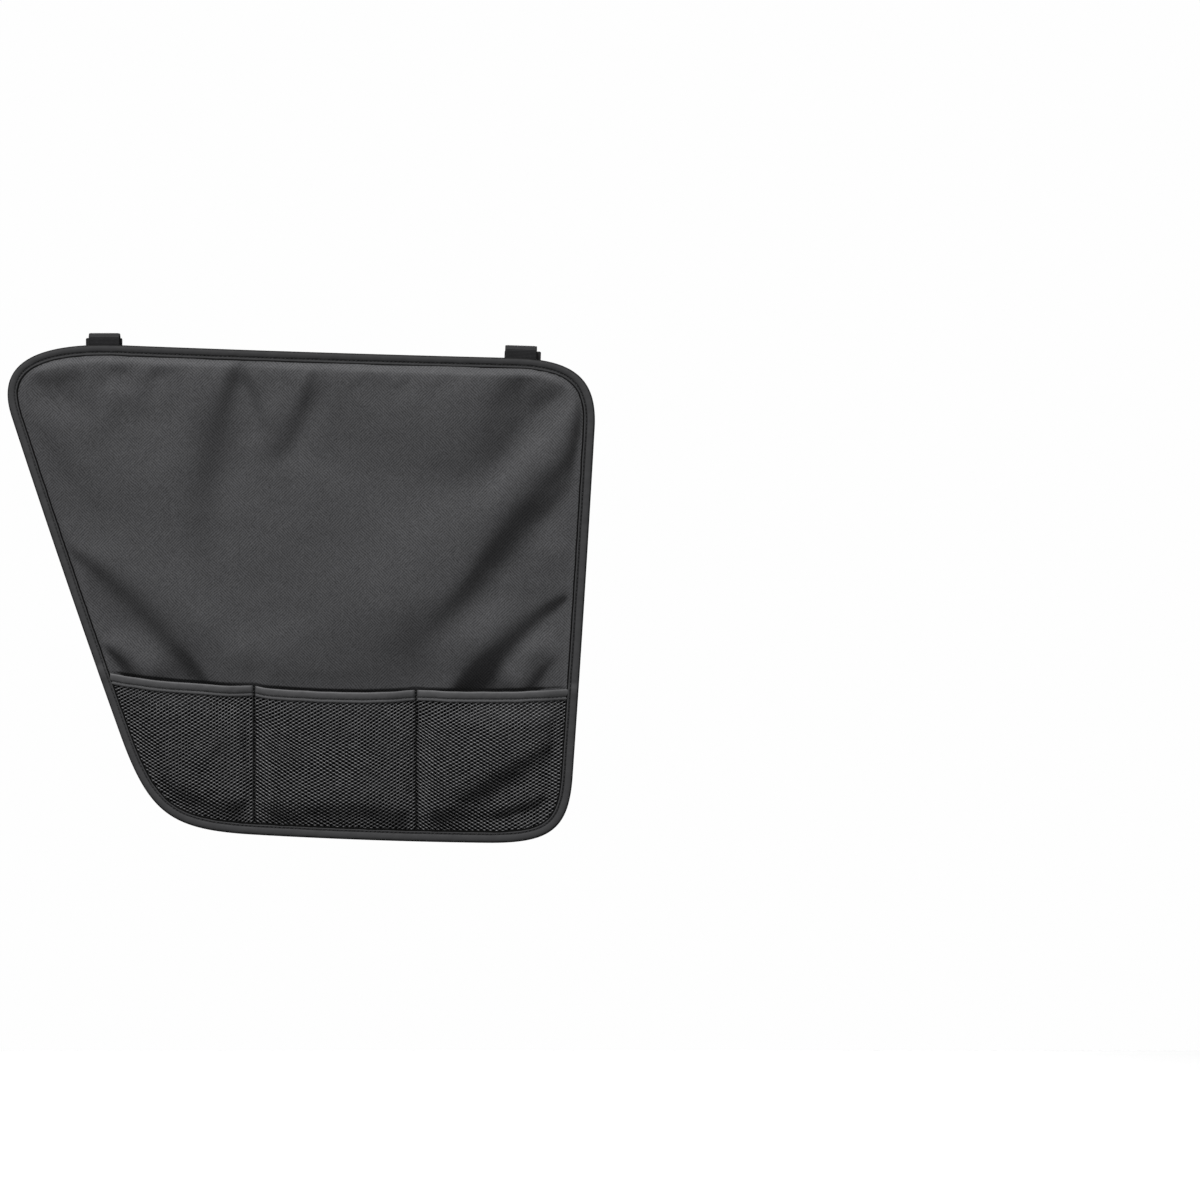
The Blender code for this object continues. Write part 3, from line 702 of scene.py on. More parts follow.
# --------------------------------------------------------------------- panel
def main_panel():
    step = 3.0
    xs = np.arange(-327.0, 327.1, step)
    zs = np.concatenate([np.arange(-560.0, -384.0, step), np.arange(-384.0, -368.0, 1.1),
                         np.arange(-368.0, 8.0, step)])
    gx, gz = np.meshgrid(xs, zs, indexing="ij")
    # rows follow the pockets' mouth where they pass it
    gz = gz + (mouth_z(gx) + 375.0) * np.exp(-((gz + 375.0) / 45.0) ** 2)
    d, s = depth_in(gx, gz)
    rim = 1.7
    good = d > rim
    cell = good[:-1, :-1] & good[1:, :-1] & good[:-1, 1:] & good[1:, 1:]
    used = np.zeros_like(good)
    full = np.ones_like(good)
    for i, j in ((0, 0), (1, 0), (0, 1), (1, 1)):
        view = used[i:used.shape[0] - 1 + i, j:used.shape[1] - 1 + j]
        view |= cell
    count = np.zeros(good.shape, int)
    for i, j in ((0, 0), (1, 0), (0, 1), (1, 1)):
        count[i:count.shape[0] - 1 + i, j:count.shape[1] - 1 + j] += cell
    border = used & (count < 4)
    p, n = edge_at(s.ravel())
    nx, nz = n[:, 0].reshape(d.shape), n[:, 1].reshape(d.shape)
    move = np.where(border, rim - d, 0.0)
    gx, gz, d = gx + nx * move, gz + nz * move, d + move

    ids = -np.ones(good.shape, int)
    ids[used] = np.arange(used.sum())
    x, z, dd = gx[used], gz[used], d[used]
    h = cloth_height(x, z)
    # the cloth drops back behind the mouths
    below = mouth_z(x) - z
    side_free = smooth01((dd - 12.0) / 12.0)
    away = 2.6 * side_free * smooth01((60.0 - below) / 40.0)
    h_back = h - away * smooth01((below + 24.0) / 29.0)
    h = h - away * smooth01((below + 3.4) / 3.6)
    front = np.column_stack([x, MID_Y - CLOTH / 2 - h, z])
    back = np.column_stack([x, MID_Y + CLOTH / 2 - h_back * 0.96, z])
    # the back stays clear of the straps that lie against it
    strap = np.zeros(len(x))
    for cx, cz in ((-225.4, 7.0), (225.4, -7.0)):
        strap = np.maximum(strap, smooth01((30.0 - np.abs(x - cx)) / 12.0)
                           * smooth01((z - cz + 62.0) / 14.0))
    limit = -4.6 - 2.3 * strap + 11.0 * smooth01((-z - 70.0) / 60.0) * smooth01((dd - 12.0) / 30.0)
    back[:, 1] = np.minimum(back[:, 1], limit)
    back[:, 1] = np.maximum(back[:, 1], np.minimum(front[:, 1] + 0.8, limit))
    front[:, 1] = np.minimum(front[:, 1], back[:, 1] - 0.8)
    a, b, c, e = ids[:-1, :-1][cell], ids[1:, :-1][cell], ids[1:, 1:][cell], ids[:-1, 1:][cell]
    m = len(front)
    quads_front = np.column_stack([a, b, c, e])
    quads_back = np.column_stack([a, e, c, b]) + m
    # rim quads
    edges = {}
    for q in quads_front:
        for k in range(4):
            edges[(q[k], q[(k + 1) % 4])] = True
    rim_quads = [(v, u, u + m, v + m) for u, v in edges if (v, u) not in edges]
    faces = quads_front.tolist() + quads_back.tolist() + rim_quads
    # painted shade on the cloth behind the mesh, from just below the mouths
    pocket_shade = smooth01((below - 1.0) / 4.0)
    tape_side_band = np.exp(-((dd - 16.0) / 3.0) ** 2)
    ob = make_mesh("panel", np.vstack([front, back]), faces, [PANEL_FRONT, PANEL_BACK, PANEL_POCKET_SHADE],
                   attributes={"pocket_shade": np.tile(pocket_shade, 2), "tape_side_band": np.tile(tape_side_band, 2)})
    index = np.zeros(len(ob.data.polygons), np.int32)
    index[len(quads_front):] = 1
    # painted shade: faces behind the mesh take the nearly black copy of the cloth
    index[:len(quads_front)][below[quads_front].min(1) > 2.0] = 2
    ob.data.polygons.foreach_set("material_index", index)
    return ob


# --------------------------------------------------------------------- tapes
def sweep(name, sections, mat, closed, attributes=None):
    """sections: (stations, points, 3), each section a closed loop."""
    count, k, _ = sections.shape
    verts = sections.reshape(-1, 3)
    i = np.arange(count if closed else count - 1)
    j = (i + 1) % count
    a = (i[:, None] * k + np.arange(k)[None, :])
    b = (j[:, None] * k + np.arange(k)[None, :])
    a2, b2 = np.roll(a, -1, 1), np.roll(b, -1, 1)
    faces = np.stack([a, a2, b2, b], -1).reshape(-1, 4).tolist()
    if not closed:
        faces += [list(range(k))[::-1], [(count - 1) * k + v for v in range(k)]]
    ob = make_mesh(name, verts, faces, mat, attributes=attributes)
    return outward(ob)


def outward(ob):
    """Turn the faces outward if the closed mesh is inside out."""
    import bmesh
    bm = bmesh.new()
    bm.from_mesh(ob.data)
    if bm.calc_volume(signed=True) < 0:
        bmesh.ops.reverse_faces(bm, faces=bm.faces)
        bm.to_mesh(ob.data)
    bm.free()
    return ob


def near_mouth_end(p):
    """(0..1 in the pockets' stretch, 0..1 at the ends of the pocket tape)."""
    below = mouth_z(p[:, 0]) - p[:, 1]
    inside = smooth01((below + 6.0) / 8.0)
    crossing = np.exp(-((below - 5.6) / 6.5) ** 2)
    return inside, crossing


STITCHES = int(round(EDGE_LENGTH / STITCH))


def edge_layout(s):
    p, n = edge_at(s)
    w = tape_width(n)
    top, right, bottom, left = side_weights(n)
    g = w * (0.735 * top + 0.79 * right + 0.81 * bottom + 0.79 * left)
    w = w + waves(s, 38.0, 31, octaves=3, loop=EDGE_LENGTH) * 0.22
    g = g + waves(s, 70.0, 32, octaves=2, loop=EDGE_LENGTH) * 0.12
    inside, crossing = near_mouth_end(p)
    base = -9.2 - 1.15 * inside - 0.7 * crossing
    return p, n, w, g, base, (top, right, bottom, left)


def edge_tape():
    count = STITCHES * 3
    s = (np.arange(count) + 0.5) * EDGE_LENGTH / count
    p, n, w, g, base, (top, right, bottom, left) = edge_layout(s)
    swell = 1.0 + 0.10 * waves(s, 24.0, 33, octaves=3, loop=EDGE_LENGTH)
    hole = (np.arange(count) % 3 == 0) * 1.0          # where the needle went in
    pull = 0.30 + 0.22 * hole
    z0 = np.zeros(count)
    # painted shadow: a thin strip beside the lip, painted near black, stands in for the shadow in the gap
    # between the lip and the cloth
    ply_and_shadow_strip = 0.8 * top + 1.8 * right + 2.2 * bottom + 1.6 * left
    rows = [
        (w + ply_and_shadow_strip - 0.10, base - 0.20), (w + ply_and_shadow_strip - 0.35, base - 0.30), (w + 0.30, base - 0.34),
        (w + 0.04, base - 0.42), (w - 0.14, base - 0.68),
        (w - 0.55, base - 0.86), ((g + w) / 2 + 0.1, base - 0.92 + 0.10 * hole),
        (g + 0.74, base - 0.80 + 0.14 * hole), (g + 0.30, base - 0.80 + pull),
        (g - 0.28, base - 0.80 + pull), (g - 0.74, base - 0.88 + 0.12 * hole),
        (g - 1.25, base - 1.08 * swell), (g * 0.70, base - 1.34 * swell), (g * 0.52, base - 1.50 * swell),
        (g * 0.36, base - 1.46 * swell), (g * 0.22, base - 1.20 * swell), (g * 0.11, base - 0.72),
        (z0 + 0.22, base - 0.10), (z0, z0 - 8.45), (z0 + 0.22, z0 - 7.55), (g * 0.10, z0 - 7.02),
        (g * 0.24, z0 - 6.74), (g * 0.45, z0 - 6.62), (g * 0.70, z0 - 6.66), (g - 0.6, z0 - 6.80),
        (g, z0 - 7.0 - 0.12 * hole), (g + 0.6, z0 - 6.82), ((g + w) / 2 + 0.6, z0 - 6.74),
        (w + 0.7, z0 - 6.84), (w + 1.0, z0 - 7.15), (w + 0.95, z0 - 7.46),
        (g, z0 - 7.52), (z0 + 1.5, z0 - 7.52), (z0 + 1.1, z0 - 8.3), (z0 + 1.5, base), (g, base),
    ]
    k = len(rows)
    sections = np.zeros((count, k, 3))
    across = np.zeros((count, k))
    painted_shade = np.zeros((count, k))
    rim = np.zeros((count, k))
    for i, (u, y) in enumerate(rows):
        sections[:, i, 0] = p[:, 0] + n[:, 0] * u
        sections[:, i, 1] = y
        sections[:, i, 2] = p[:, 1] + n[:, 1] * u
        across[:, i] = u
    line = 1 - 0.55 * left - 0.30 * top
    # painted shade in the needle line's groove, weaker on the left and top
    for i in (8, 9, 25):
        painted_shade[:, i] = (0.8 + 0.2 * hole) * line
    for i in (7, 10):
        painted_shade[:, i] = (0.40 + 0.25 * right) * line
    # painted shadow on the strip beside the lip, darker at the bottom and sides
    for i in (0, 1, 2, 3):
        painted_shade[:, i] = 1.0 - 0.45 * top
        rim[:, i] = bottom + 0.50 * left + 0.40 * right
    # painted shade along the fold of the outer edge
    for i in (17, 18, 19):
        rim[:, i] = 1.0
    rim[:, 16] = 0.70 + 0.15 * top
    rim[:, 15] = 0.25 * top
    # painted shade on the outer face of the top tape, which the light from above catches
    for i in (11, 12, 13, 14, 15):
        painted_shade[:, i] = 0.10 * top
    # painted shade on the lip of the bottom tape
    rim[:, 4] = 0.45 * bottom
    along = np.repeat(s[:, None], k, 1)
    return sweep("edge_binding_tape", sections, EDGE_TAPE, True,
                 {"along": along.ravel(), "across": across.ravel(),
                  "painted_shade": painted_shade.ravel(), "rim": rim.ravel()})


def crossing(drop, depth, side):
    """x where a line `drop` under the mouth is `depth` inside the edge."""
    low, high = (-262.0, -150.0) if side < 0 else (200.0, 304.0)
    for _ in range(36):
        mid = (low + high) / 2
        q = np.array([mid]), mouth_z(np.array([mid])) - drop
        deep = depth_in(*q)[0][0]
        if (deep > depth) == (side < 0):
            high = mid
        else:
            low = mid
    return (low + high) / 2


POCKET_ENDS = (crossing(5.5, 5.0, -1), crossing(5.5, 5.0, 1))


def pocket_line(x):
    """The pocket tape's layout along x: depth of the mesh, tape scale."""
    mz = mouth_z(x)
    rise = pocket_rise(x, mz - 13.0)
    d, _ = depth_in(x, mz - 5.5)
    flat = 1 - smooth01((d - 6.0) / 11.0)              # 1 where the edge tape covers it
    return mz, rise, flat


def pocket_tape():
    pitch = 1.5
    count = int((POCKET_ENDS[1] - POCKET_ENDS[0]) / pitch)
    x = np.linspace(POCKET_ENDS[0], POCKET_ENDS[1], count)
    # stations gather at the dividers
    for divider in DIVIDERS:
        x = x - 0.6 * (x - divider) * np.exp(-((x - divider) / 3.6) ** 2)
    x = np.sort(x)
    mz, rise, flat = pocket_line(x)
    hole = (np.arange(count) % 3 == 0) * 1.0
    w = 11.4 + waves(x, 40.0, 41) * 0.18
    g = 8.1 + waves(x, 60.0, 42) * 0.12
    pinch = np.zeros(count)
    for divider in DIVIDERS:
        pinch = np.maximum(pinch, np.exp(-(np.abs(x - divider) / 1.7) ** 4))
    thick = (1 - 0.55 * flat) * (1 - 0.72 * pinch)
    wob = 1 + 0.10 * waves(x, 22.0, 43)
    lift = waves(x, 55.0, 44, octaves=2) * 0.25 * (1 - flat)
    mesh_y = -9.7 - rise * (1 - 0.35 * flat) + pinch * 0.8    # middle of the mesh layer
    top = mz + lift - 0.5 * pinch
    lean = 0.9 * (1 - flat) * (1 - pinch)                     # the mouth's lip leans out
    rows = [
        (w, -0.55), (w + 0.10, -0.80), (w - 0.15, -1.28), (w - 0.7, -1.52),
        ((g + w) / 2 + 0.15, -1.50 + 0.10 * hole), (g + 0.6, -1.30 + 0.15 * hole),
        (g + 0.15, -1.12 + 0.25 * hole), (g - 0.25, -1.12 + 0.25 * hole), (g - 0.6, -1.42 + 0.1 * hole),
        (g * 0.78, -1.80 * wob), (g * 0.52, -1.98 * wob), (g * 0.28, -1.98 * wob), (g * 0.12, -1.66),
        (0.35 + 0 * w, -1.20), (0.02 + 0 * w, -0.45), (0.0 * w, 0.45), (0.35 + 0 * w, 1.05),
        (1.2 + 0 * w, 1.35), (g * 0.6, 1.36), (g - 0.5, 1.28), (g, 1.10), (g + 0.6, 1.26),
        (w - 0.4, 1.3), (w + 0.2, 1.02), (w + 0.2, 0.62),
        (g, 0.60), (1.2 + 0 * w, 0.60), (0.85 + 0 * w, 0.05), (1.2 + 0 * w, -0.55), (g, -0.55),
    ]
    k = len(rows)
    sections = np.zeros((count, k, 3))
    across, painted_shade, rim = (np.zeros((count, k)) for _ in range(3))
    for i, (u, y) in enumerate(rows):
        sections[:, i, 0] = x
        sections[:, i, 1] = mesh_y + np.asarray(y) * thick - lean * (1 - u / 11.4)
        sections[:, i, 2] = top - u
        across[:, i] = u
    # painted shade in the needle line
    for i in (6, 7, 20):
        painted_shade[:, i] = 0.75 + 0.25 * hole
    # painted shadow along the tape's lower edge
    for i in (0, 1):
        painted_shade[:, i] = 0.9
    # painted shade in the notches at the dividers
    painted_shade = np.maximum(painted_shade, pinch[:, None])
    rim = np.maximum(rim, pinch[:, None])
    along = np.repeat(x[:, None], k, 1)
    return sweep("pocket_mouth_tape", sections, POCKET_TAPE_MAT, False,
                 {"along": along.ravel(), "across": across.ravel(),
                  "painted_shade": painted_shade.ravel(), "rim": rim.ravel()})


# ---------------------------------------------------------------------- mesh
def pocket_mesh():
    """Knitted mesh with open hexagonal holes, each strand a rounded ridge."""
    pa, pb = 3.32, 3.85
    columns = int(560 / pa) + 2
    rows = int(220 / pb) + 4
    x0, z0 = -262.0, -560.0
    ci, ri = np.meshgrid(np.arange(columns), np.arange(rows), indexing="ij")
    cx = x0 + ci * pa
    cz = z0 + ri * pb + (ci % 2) * pb / 2
    knot_x = (pa * pa - pb * pb / 4) / (2 * pa)       # corners of a cell
    knot_w = (pa * pa + pb * pb / 4) / (2 * pa)
    corner = [(knot_w, 0.0), (knot_x, pb / 2), (0.0, pb / 2), (-knot_x, pb / 2),
              (-knot_w, 0.0), (-knot_x, -pb / 2), (0.0, -pb / 2), (knot_x, -pb / 2)]
    hole = [(1.84, 0.0), (1.06, 1.18), (0.0, 1.24), (-1.06, 1.18),
            (-1.84, 0.0), (-1.06, -1.18), (0.0, -1.24), (1.06, -1.18)]

    def warp(x, z):
        """The knit sags between the dividers, so its rows curve."""
        out = np.zeros_like(x)
        for lo, hi, deep in ((-250.0, -63.2, 6.5), (-63.2, 111.9, 6.5), (111.9, 300.0, 6.5)):
            u = np.clip((x - lo) / (hi - lo), 0, 1)
            inside = (x >= lo) & (x < hi)
            out = np.where(inside, deep * 4 * (u - 0.5) ** 2, out)
        xx = x + field(x, z, 90.0, 51, octaves=2) * 0.9
        return xx, z + out + field(x, z, 70.0, 52, octaves=2) * 0.8

    wx, wz = warp(cx.ravel(), cz.ravel())
    d, _ = depth_in(wx, wz)
    keep = (d > 3.4) & (mouth_z(wx) - wz > 2.6)
    keep &= wz < -300
    idx = np.nonzero(keep)[0]
    ccx, ccz = cx.ravel()[idx], cz.ravel()[idx]

    # gather shared corners by rounded lattice position
    all_c = np.array([(ccx + dx, ccz + dz) for dx, dz in corner])      # (8, 2, n)
    all_c = all_c.transpose(2, 0, 1).reshape(-1, 2)
    key = np.round(all_c * 20).astype(np.int64)
    uniq, first, inverse = np.unique(key[:, 0] * 10 ** 7 + key[:, 1], return_index=True,
                                     return_inverse=True)
    crest_xy = all_c[first]
    cells = inverse.reshape(-1, 8)
    n_crest, n_cell = len(crest_xy), len(idx)
    kind = np.zeros(n_crest)
    kind[cells[:, 2]] = 1.0                            # middle of a thick strand
    kind[cells[:, 6]] = 1.0
    rim_xy = np.array([(ccx + dx, ccz + dz) for dx, dz in hole]).transpose(2, 0, 1).reshape(-1, 2)

    fx, fz = warp(crest_xy[:, 0], crest_xy[:, 1])
    hx, hz = warp(rim_xy[:, 0], rim_xy[:, 1])
    # each hole a little different
    jig = np.repeat(rng.uniform(0.90, 1.08, n_cell), 8)
    mx, mz_ = warp(np.repeat(ccx, 8), np.repeat(ccz, 8))
    hx, hz = mx + (hx - mx) * jig, mz_ + (hz - mz_) * jig
    lean = np.zeros(n_crest)
    lean[cells[:, [1, 7, 4]].ravel()] = 1.0
    lean[cells[:, [3, 5, 0]].ravel()] = -1.0

    def pull(x, z):
        """-1 to 1: which way the knit leans."""
        out = np.zeros_like(x)
        for lo, hi in ((-250.0, -63.2), (-63.2, 111.9), (111.9, 300.0)):
            out = np.where((x >= lo) & (x < hi), 2.4 * ((x - lo) / (hi - lo) - 0.5), out)
        out = out + 2.3 * np.exp(-((mouth_z(x) - z - 10.0) / 30.0) ** 2)
        return np.clip(out + field(x, z, 75.0, 54, octaves=2) * 0.8, -1, 1)

    fz = fz + 0.58 * lean * pull(fx, fz)
    hz = hz + 0.35 * (hx - mx) * pull(hx, hz)
    rise_c = pocket_rise(fx, fz)
    rise_h = pocket_rise(hx, hz)
    for_edge = lambda x, z: smooth01((depth_in(x, z)[0] - 11.0) / 6.0)
    front_y = -9.72 - rise_c - (0.56 + 0.34 * kind) * for_edge(fx, fz) - 0.06
    back_y = -9.72 - rise_c + 0.58
    rim_y = -9.72 - rise_h - 0.02
    verts = np.vstack([np.column_stack([fx, front_y, fz]), np.column_stack([fx, back_y, fz]),
                       np.column_stack([hx, rim_y, hz])])
    rim_kind = np.tile([0, 0, 1, 0, 0, 0, 1, 0], n_cell)      # beside a thick strand
    # painted light: front crests bright, the thick strands brightest, the backs and hole rims dark as shade
    painted_strand_light = np.concatenate([0.34 + 0.66 * kind, np.full(n_crest, 0.06), 0.06 + 0.34 * rim_kind])
    all_x = np.concatenate([fx, fx, hx])
    # painted shade in the divider seams
    for divider in DIVIDERS:
        painted_strand_light = painted_strand_light * smooth01((np.abs(all_x - divider) - 0.9) / 1.8)
    rim_ids = 2 * n_crest + np.arange(n_cell * 8).reshape(-1, 8)
    faces = []
    for k in range(8):
        j = (k + 1) % 8
        faces.append(np.column_stack([cells[:, k], cells[:, j], rim_ids[:, j], rim_ids[:, k]]))
        faces.append(np.column_stack([cells[:, j] + n_crest, cells[:, k] + n_crest,
                                      rim_ids[:, k], rim_ids[:, j]]))
    faces = np.vstack(faces)
    # close the border between the front and the back outline
    ea = np.concatenate([cells[:, k] for k in range(8)])
    eb = np.concatenate([cells[:, (k + 1) % 8] for k in range(8)])
    seen = set(zip(ea.tolist(), eb.tolist()))
    border = [(b, a, a + n_crest, b + n_crest) for a, b in seen if (b, a) not in seen]
    ob = make_mesh("mesh_pockets", verts, faces.tolist() + border, MESH_MAT,
                   attributes={"painted_strand_light": painted_strand_light})
    return outward(ob)


# ------------------------------------------------------------------- threads
def threads(name, starts, ends, out, mat, radius=0.27, dive=0.34, arch=0.10):
    """One rounded stitch for each start and end, each a closed capsule."""
    p0, p1, out = (np.asarray(v, float) for v in (starts, ends, out))
    count = len(p0)
    along = p1 - p0
    length = np.linalg.norm(along, axis=1)[:, None]
    along = along / length
    out = np.broadcast_to(out, p0.shape)
    side = np.cross(along, out)
    side /= np.linalg.norm(side, axis=1)[:, None]
    up = np.cross(side, along)
    up *= np.sign((up * out).sum(1))[:, None]
    rings = ((0.13, 0.0, 0.82), (0.32, arch, 1.0), (0.68, arch, 1.0), (0.87, 0.0, 0.82))
    k = 7
    verts = [p0 + along * length * 0.04 - up * dive]
    for t, lift, fat in rings:
        for a in range(k):
            angle = 2 * math.pi * a / k
            verts.append(p0 + along * length * t + up * (lift + radius * fat * math.sin(angle))
                         + side * radius * fat * math.cos(angle))
    verts.append(p1 - along * length * 0.04 - up * dive)
    per = len(verts)
    verts = np.stack(verts, 1).reshape(-1, 3)
    one = [(0, 1 + a, 1 + (a + 1) % k) for a in range(k)]
    for r in range(len(rings) - 1):
        for a in range(k):
            b = (a + 1) % k
            one.append((1 + r * k + a, 1 + (r + 1) * k + a, 1 + (r + 1) * k + b, 1 + r * k + b))
    last = 1 + (len(rings) - 1) * k
    one += [(per - 1, last + (a + 1) % k, last + a) for a in range(k)]
    faces = [tuple(v + i * per for v in f) for i in range(count) for f in one]
    return outward(make_mesh(name, verts, faces, mat))


def stitch_path(points, pitch):
    """Points at a pitch along a polyline of 3-D points."""
    points = np.asarray(points, float)
    lengths = np.concatenate([[0], np.cumsum(np.linalg.norm(np.diff(points, axis=0), axis=1))])
    n = max(1, int(round(lengths[-1] / pitch)))
    s = np.linspace(0, lengths[-1], n + 1)
    return np.column_stack([np.interp(s, lengths, points[:, k]) for k in range(3)])


def edge_stitches():
    s = (np.arange(STITCHES) * 3 + 0.5) * EDGE_LENGTH / (STITCHES * 3)
    p, n, w, g, base, _ = edge_layout(s)
    g = g + 0.02
    front = np.column_stack([p[:, 0] + n[:, 0] * g, base - 0.60, p[:, 1] + n[:, 1] * g])
    rear = np.column_stack([p[:, 0] + n[:, 0] * g, np.full(len(s), -6.99), p[:, 1] + n[:, 1] * g])
    a = threads("edge_stitches", front, np.roll(front, -1, 0), (0, -1, 0), THREAD)
    b = threads("edge_stitches_rear", rear, np.roll(rear, -1, 0), (0, 1, 0), THREAD, radius=0.25,
                arch=0.06)
    return a, b


def pocket_stitches():
    n = int((POCKET_ENDS[1] - POCKET_ENDS[0] - 22) / STITCH)
    x = np.linspace(POCKET_ENDS[0] + 11, POCKET_ENDS[1] - 11, n)
    x = x[np.all([abs(x - v) > 3.2 for v in DIVIDERS], axis=0)]
    mz, rise, flat = pocket_line(x)
    g = 8.12 + waves(x, 60.0, 42) * 0.12
    top = mz + waves(x, 55.0, 44, octaves=2) * 0.25 * (1 - flat)
    lean = 0.9 * (1 - flat)
    y = -9.7 - rise * (1 - 0.35 * flat) - 1.05 * (1 - 0.55 * flat) - lean * (1 - g / 11.4)
    p = np.column_stack([x, y, top - g])
    ok = (x[1:] - x[:-1]) < STITCH * 1.5
    return threads("pocket_tape_stitches", p[:-1][ok], p[1:][ok], (0, -1, 0), THREAD)


def divider_threads(name, x):
    mz = float(mouth_z(np.array([x]))[0])
    low = -548.0
    while depth_in(np.array([x]), np.array([low]))[0][0] < 12.2:
        low += 0.5
    zs = np.arange(mz - 1.6, low, -3.6)
    on_tape = zs > mz - 11.0
    rise = pocket_rise(np.full(len(zs), x), zs)
    y = -9.72 - rise - np.where(on_tape, 0.55, 0.42)
    front = np.column_stack([np.full(len(zs), x), y, zs])
    back_h = cloth_height(np.full(len(zs), x), zs)
    back = np.column_stack([np.full(len(zs), x), -7.62 - 0.96 * np.clip(back_h, -0.5, 4.0), zs])
    starts = np.vstack([front[:-1], back[:-1]])
    ends = np.vstack([front[1:], back[1:]])
    out = np.zeros_like(starts)
    out[:len(front) - 1, 1] = -1
    out[len(front) - 1:, 1] = 1
    return threads(name, starts, ends, out, THREAD_IN_SHADE, radius=0.42)


# ---------------------------------------------------------------------- tabs
TABS = {"left": (-225.4, 7.0, 0.0), "right": (225.4, -7.0, 2.0)}


def tab_place(side, x, y, z):
    cx, cz, tilt = TABS[side]
    c, s = math.cos(math.radians(tilt)), math.sin(math.radians(tilt))
    return np.stack([cx + x * c + z * s, y + 0 * x, cz - x * s + z * c], -1)


def tab_strap(side, seed):
    """Webbing: up the back of the panel, over the gap, down to the plate."""
    radius, t, half = 5.0, 1.3, 16.7 if side == "left" else 17.2
    shift, lift = (-0.5, 1.2) if side == "left" else (0.0, 1.7)
    path = [(-radius, z, -1.0, 0.0) for z in np.arange(-43.0, -5.1, 1.9)]
    for k in range(25):
        a = math.pi - math.pi * k / 24
        path.append((radius * math.cos(a), -radius + radius * math.sin(a), math.cos(a), math.sin(a)))
    path += [(radius, z, 1.0, 0.0) for z in np.arange(-6.9, -40.1, -1.9)]
    path = np.array(path)
    run = np.concatenate([[0], np.cumsum(np.linalg.norm(np.diff(path[:, :2], axis=0), axis=1))])
    # section: selvedges a little thinner and rounded, faces with faint cords
    xs = np.concatenate([[-half], -half + np.array([0.35, 0.9, 1.7]),
                         np.linspace(-half + 2.6, half - 2.6, 23), half - np.array([1.7, 0.9, 0.35]), [half]])
    cords = 0.05 * np.cos(2 * np.pi * xs / 2.7)
    taper = np.interp(half - np.abs(xs), [0, 0.35, 0.9, 1.7, 2.6], [0.0, 0.30, 0.46, 0.58, 0.65])
    upper = taper + cords * (taper > 0.6)
    lower = -taper - cords * (taper > 0.6)
    loop_x = np.concatenate([xs, xs[-2:0:-1]])
    loop_t = np.concatenate([upper, lower[-2:0:-1]])
    k = len(loop_x)
    sections = np.zeros((len(path), k, 3))
    wave = 0.10 * waves(run, 30.0, seed, octaves=2)
    for i, (y, z, ny, nz) in enumerate(path):
        off = t / 2 + loop_t
        local_y = y + ny * off
        local_z = z + nz * off
        wide = loop_x * (1 + 0.004 * wave[i] / 0.1)
        sections[i] = tab_place(side, wide + shift, local_y, local_z + lift)
    ob = sweep(side + "_tab_webbing", sections, WEBBING, False,
               {"along": np.repeat(run[:, None], k, 1).ravel(),
                "across": np.tile(loop_x, len(path))})
    return ob


def tab_stitches(side):
    """A crossed box of thread through the rear leg and its plate."""
    w, lo, hi = 11.5, -35.5, -12.0
    outward_x = -1.8 if side == "left" else 1.8
    starts, ends, outs = [], [], []
    lines = [((-w, lo), (w, lo)), ((w, lo), (w, hi)), ((w, hi), (-w, hi)), ((-w, hi), (-w, lo)),
             ((-w, lo), (w, hi)), ((-w, hi), (w, lo))]
    for (ax, az), (bx, bz) in lines:
        for y, ny in ((8.66, 1.0), (4.96, -1.0)):
            pts = stitch_path([(ax, y, az), (bx, y, bz)], 3.1)
            starts.append(pts[:-1])
            ends.append(pts[1:])
            outs.append(np.tile((0.0, ny, 0.0), (len(pts) - 1, 1)))
    # the front leg: a box on its free face
    for (ax, az), (bx, bz) in lines[:4]:
        pts = stitch_path([(ax, -4.96, az - 3), (bx, -4.96, bz - 3)], 3.1)
        starts.append(pts[:-1])
        ends.append(pts[1:])
        outs.append(np.tile((0.0, 1.0, 0.0), (len(pts) - 1, 1)))
    starts, ends, outs = np.vstack(starts), np.vstack(ends), np.vstack(outs)
    starts = tab_place(side, starts[:, 0], starts[:, 1], starts[:, 2])
    ends = tab_place(side, ends[:, 0], ends[:, 1], ends[:, 2])
    return threads(side + "_tab_stitches", starts, ends, outs, THREAD, radius=0.30)


# ------------------------------------------------------------------ assembly
panel = main_panel()
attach(panel, "root")
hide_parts("main_panel")

tape = edge_tape()
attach(tape, "root")
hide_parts("edge_binding")

mesh = pocket_mesh()
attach(mesh, "root")
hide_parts("mesh_pocket")

mouth = pocket_tape()
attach(mouth, "root")
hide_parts("pocket_binding")

for ob in (*edge_stitches(), pocket_stitches()):
    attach(ob, "root")

for side, x in (("left", DIVIDERS[0]), ("right", DIVIDERS[1])):
    seam = divider_threads(side + "_divider_stitches", x)
    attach(seam, "root")
    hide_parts(side + "_divider_seam")
    strap = tab_strap(side, 61 if side == "left" else 62)
    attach(strap, "root")
    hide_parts(side + "_tab_strap")
    box = tab_stitches(side)
    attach(box, "root")
    plate = bpy.data.objects[side + "_insert_plate"]
    for slot in plate.material_slots:
        slot.material = PLASTIC

# --------------------------------------------------------------------- stage
scene = bpy.context.scene
scene.view_settings.view_transform = "Standard"
scene.view_settings.look = "None"

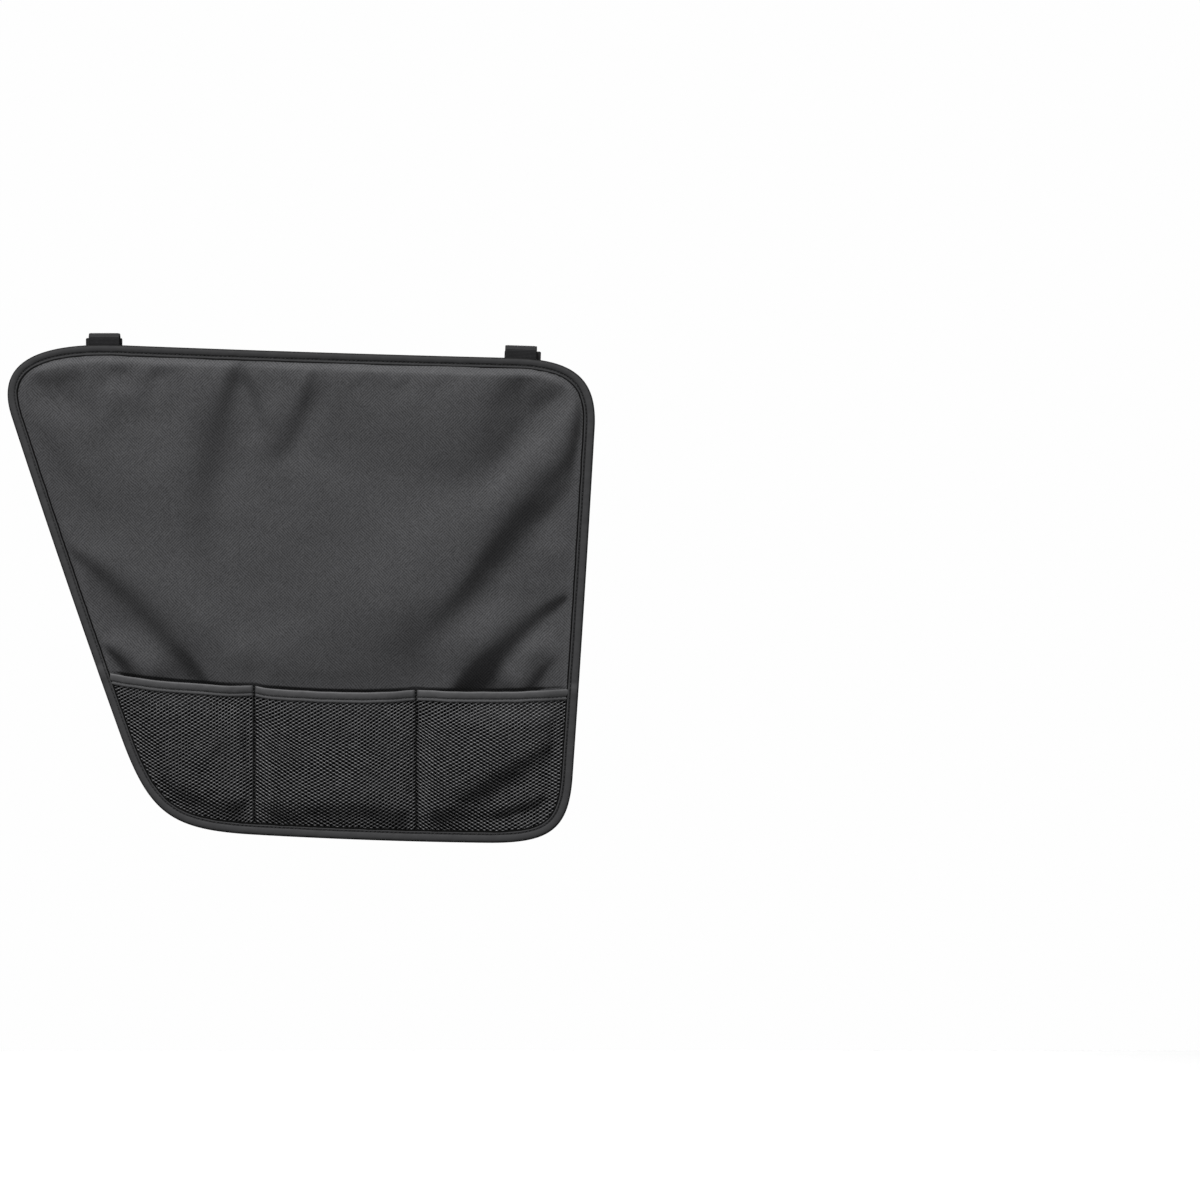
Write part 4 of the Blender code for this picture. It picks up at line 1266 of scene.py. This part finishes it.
cam_data = bpy.data.cameras.new("camera")
cam_data.lens = 138.77
cam_data.sensor_width = 36.0
cam_data.clip_end = 50.0
cam = bpy.data.objects.new("camera", cam_data)
cam.location = (0.3108, -5.0113, -0.2797)
cam.rotation_euler = (math.radians(90), 0, 0)
scene.collection.objects.link(cam)
scene.camera = cam

floor_mesh = bpy.data.meshes.new("floor")
floor_mesh.from_pydata([(-3, -3, -1.06), (3, -3, -1.06), (3, 3, -1.06), (-3, 3, -1.06)], [], [(0, 1, 2, 3)])
floor_mesh.materials.append(stage_material("floor", 0.88))
floor = bpy.data.objects.new("floor", floor_mesh)
scene.collection.objects.link(floor)

world = bpy.data.worlds.new("studio")
world.use_nodes = True
scene.world = world
tree = world.node_tree
ambient = tree.nodes["Background"]
ambient.inputs["Color"].default_value = (1, 1, 1, 1)
ambient.inputs["Strength"].default_value = 0.13
seen = tree.nodes.new("ShaderNodeBackground")
seen.inputs["Color"].default_value = (0.991, 0.991, 0.991, 1)
seen.inputs["Strength"].default_value = 1.0
path = tree.nodes.new("ShaderNodeLightPath")
mixer = tree.nodes.new("ShaderNodeMixShader")
tree.links.new(path.outputs["Is Camera Ray"], mixer.inputs["Fac"])
tree.links.new(ambient.outputs[0], mixer.inputs[1])
tree.links.new(seen.outputs[0], mixer.inputs[2])
tree.links.new(mixer.outputs[0], tree.nodes["World Output"].inputs["Surface"])


def softbox(name, place, aim, size, power):
    data = bpy.data.lights.new(name, "AREA")
    data.shape = "RECTANGLE"
    data.size, data.size_y = size
    data.energy = power
    ob = bpy.data.objects.new(name, data)
    ob.location = place
    ob.rotation_euler = (Vector(aim) - Vector(place)).to_track_quat("-Z", "Y").to_euler()
    scene.collection.objects.link(ob)


softbox("key", (-1.80, -4.65, 9.5), (0.0, 0.0, -0.25), (3.0, 2.4), 1450.0)
softbox("front", (0.5, -4.2, 0.6), (0.0, 0.0, -0.3), (2.2, 2.2), 12.0)
softbox("behind", (0.4, 3.4, 1.8), (0.0, 0.0, -0.3), (2.2, 1.6), 60.0)
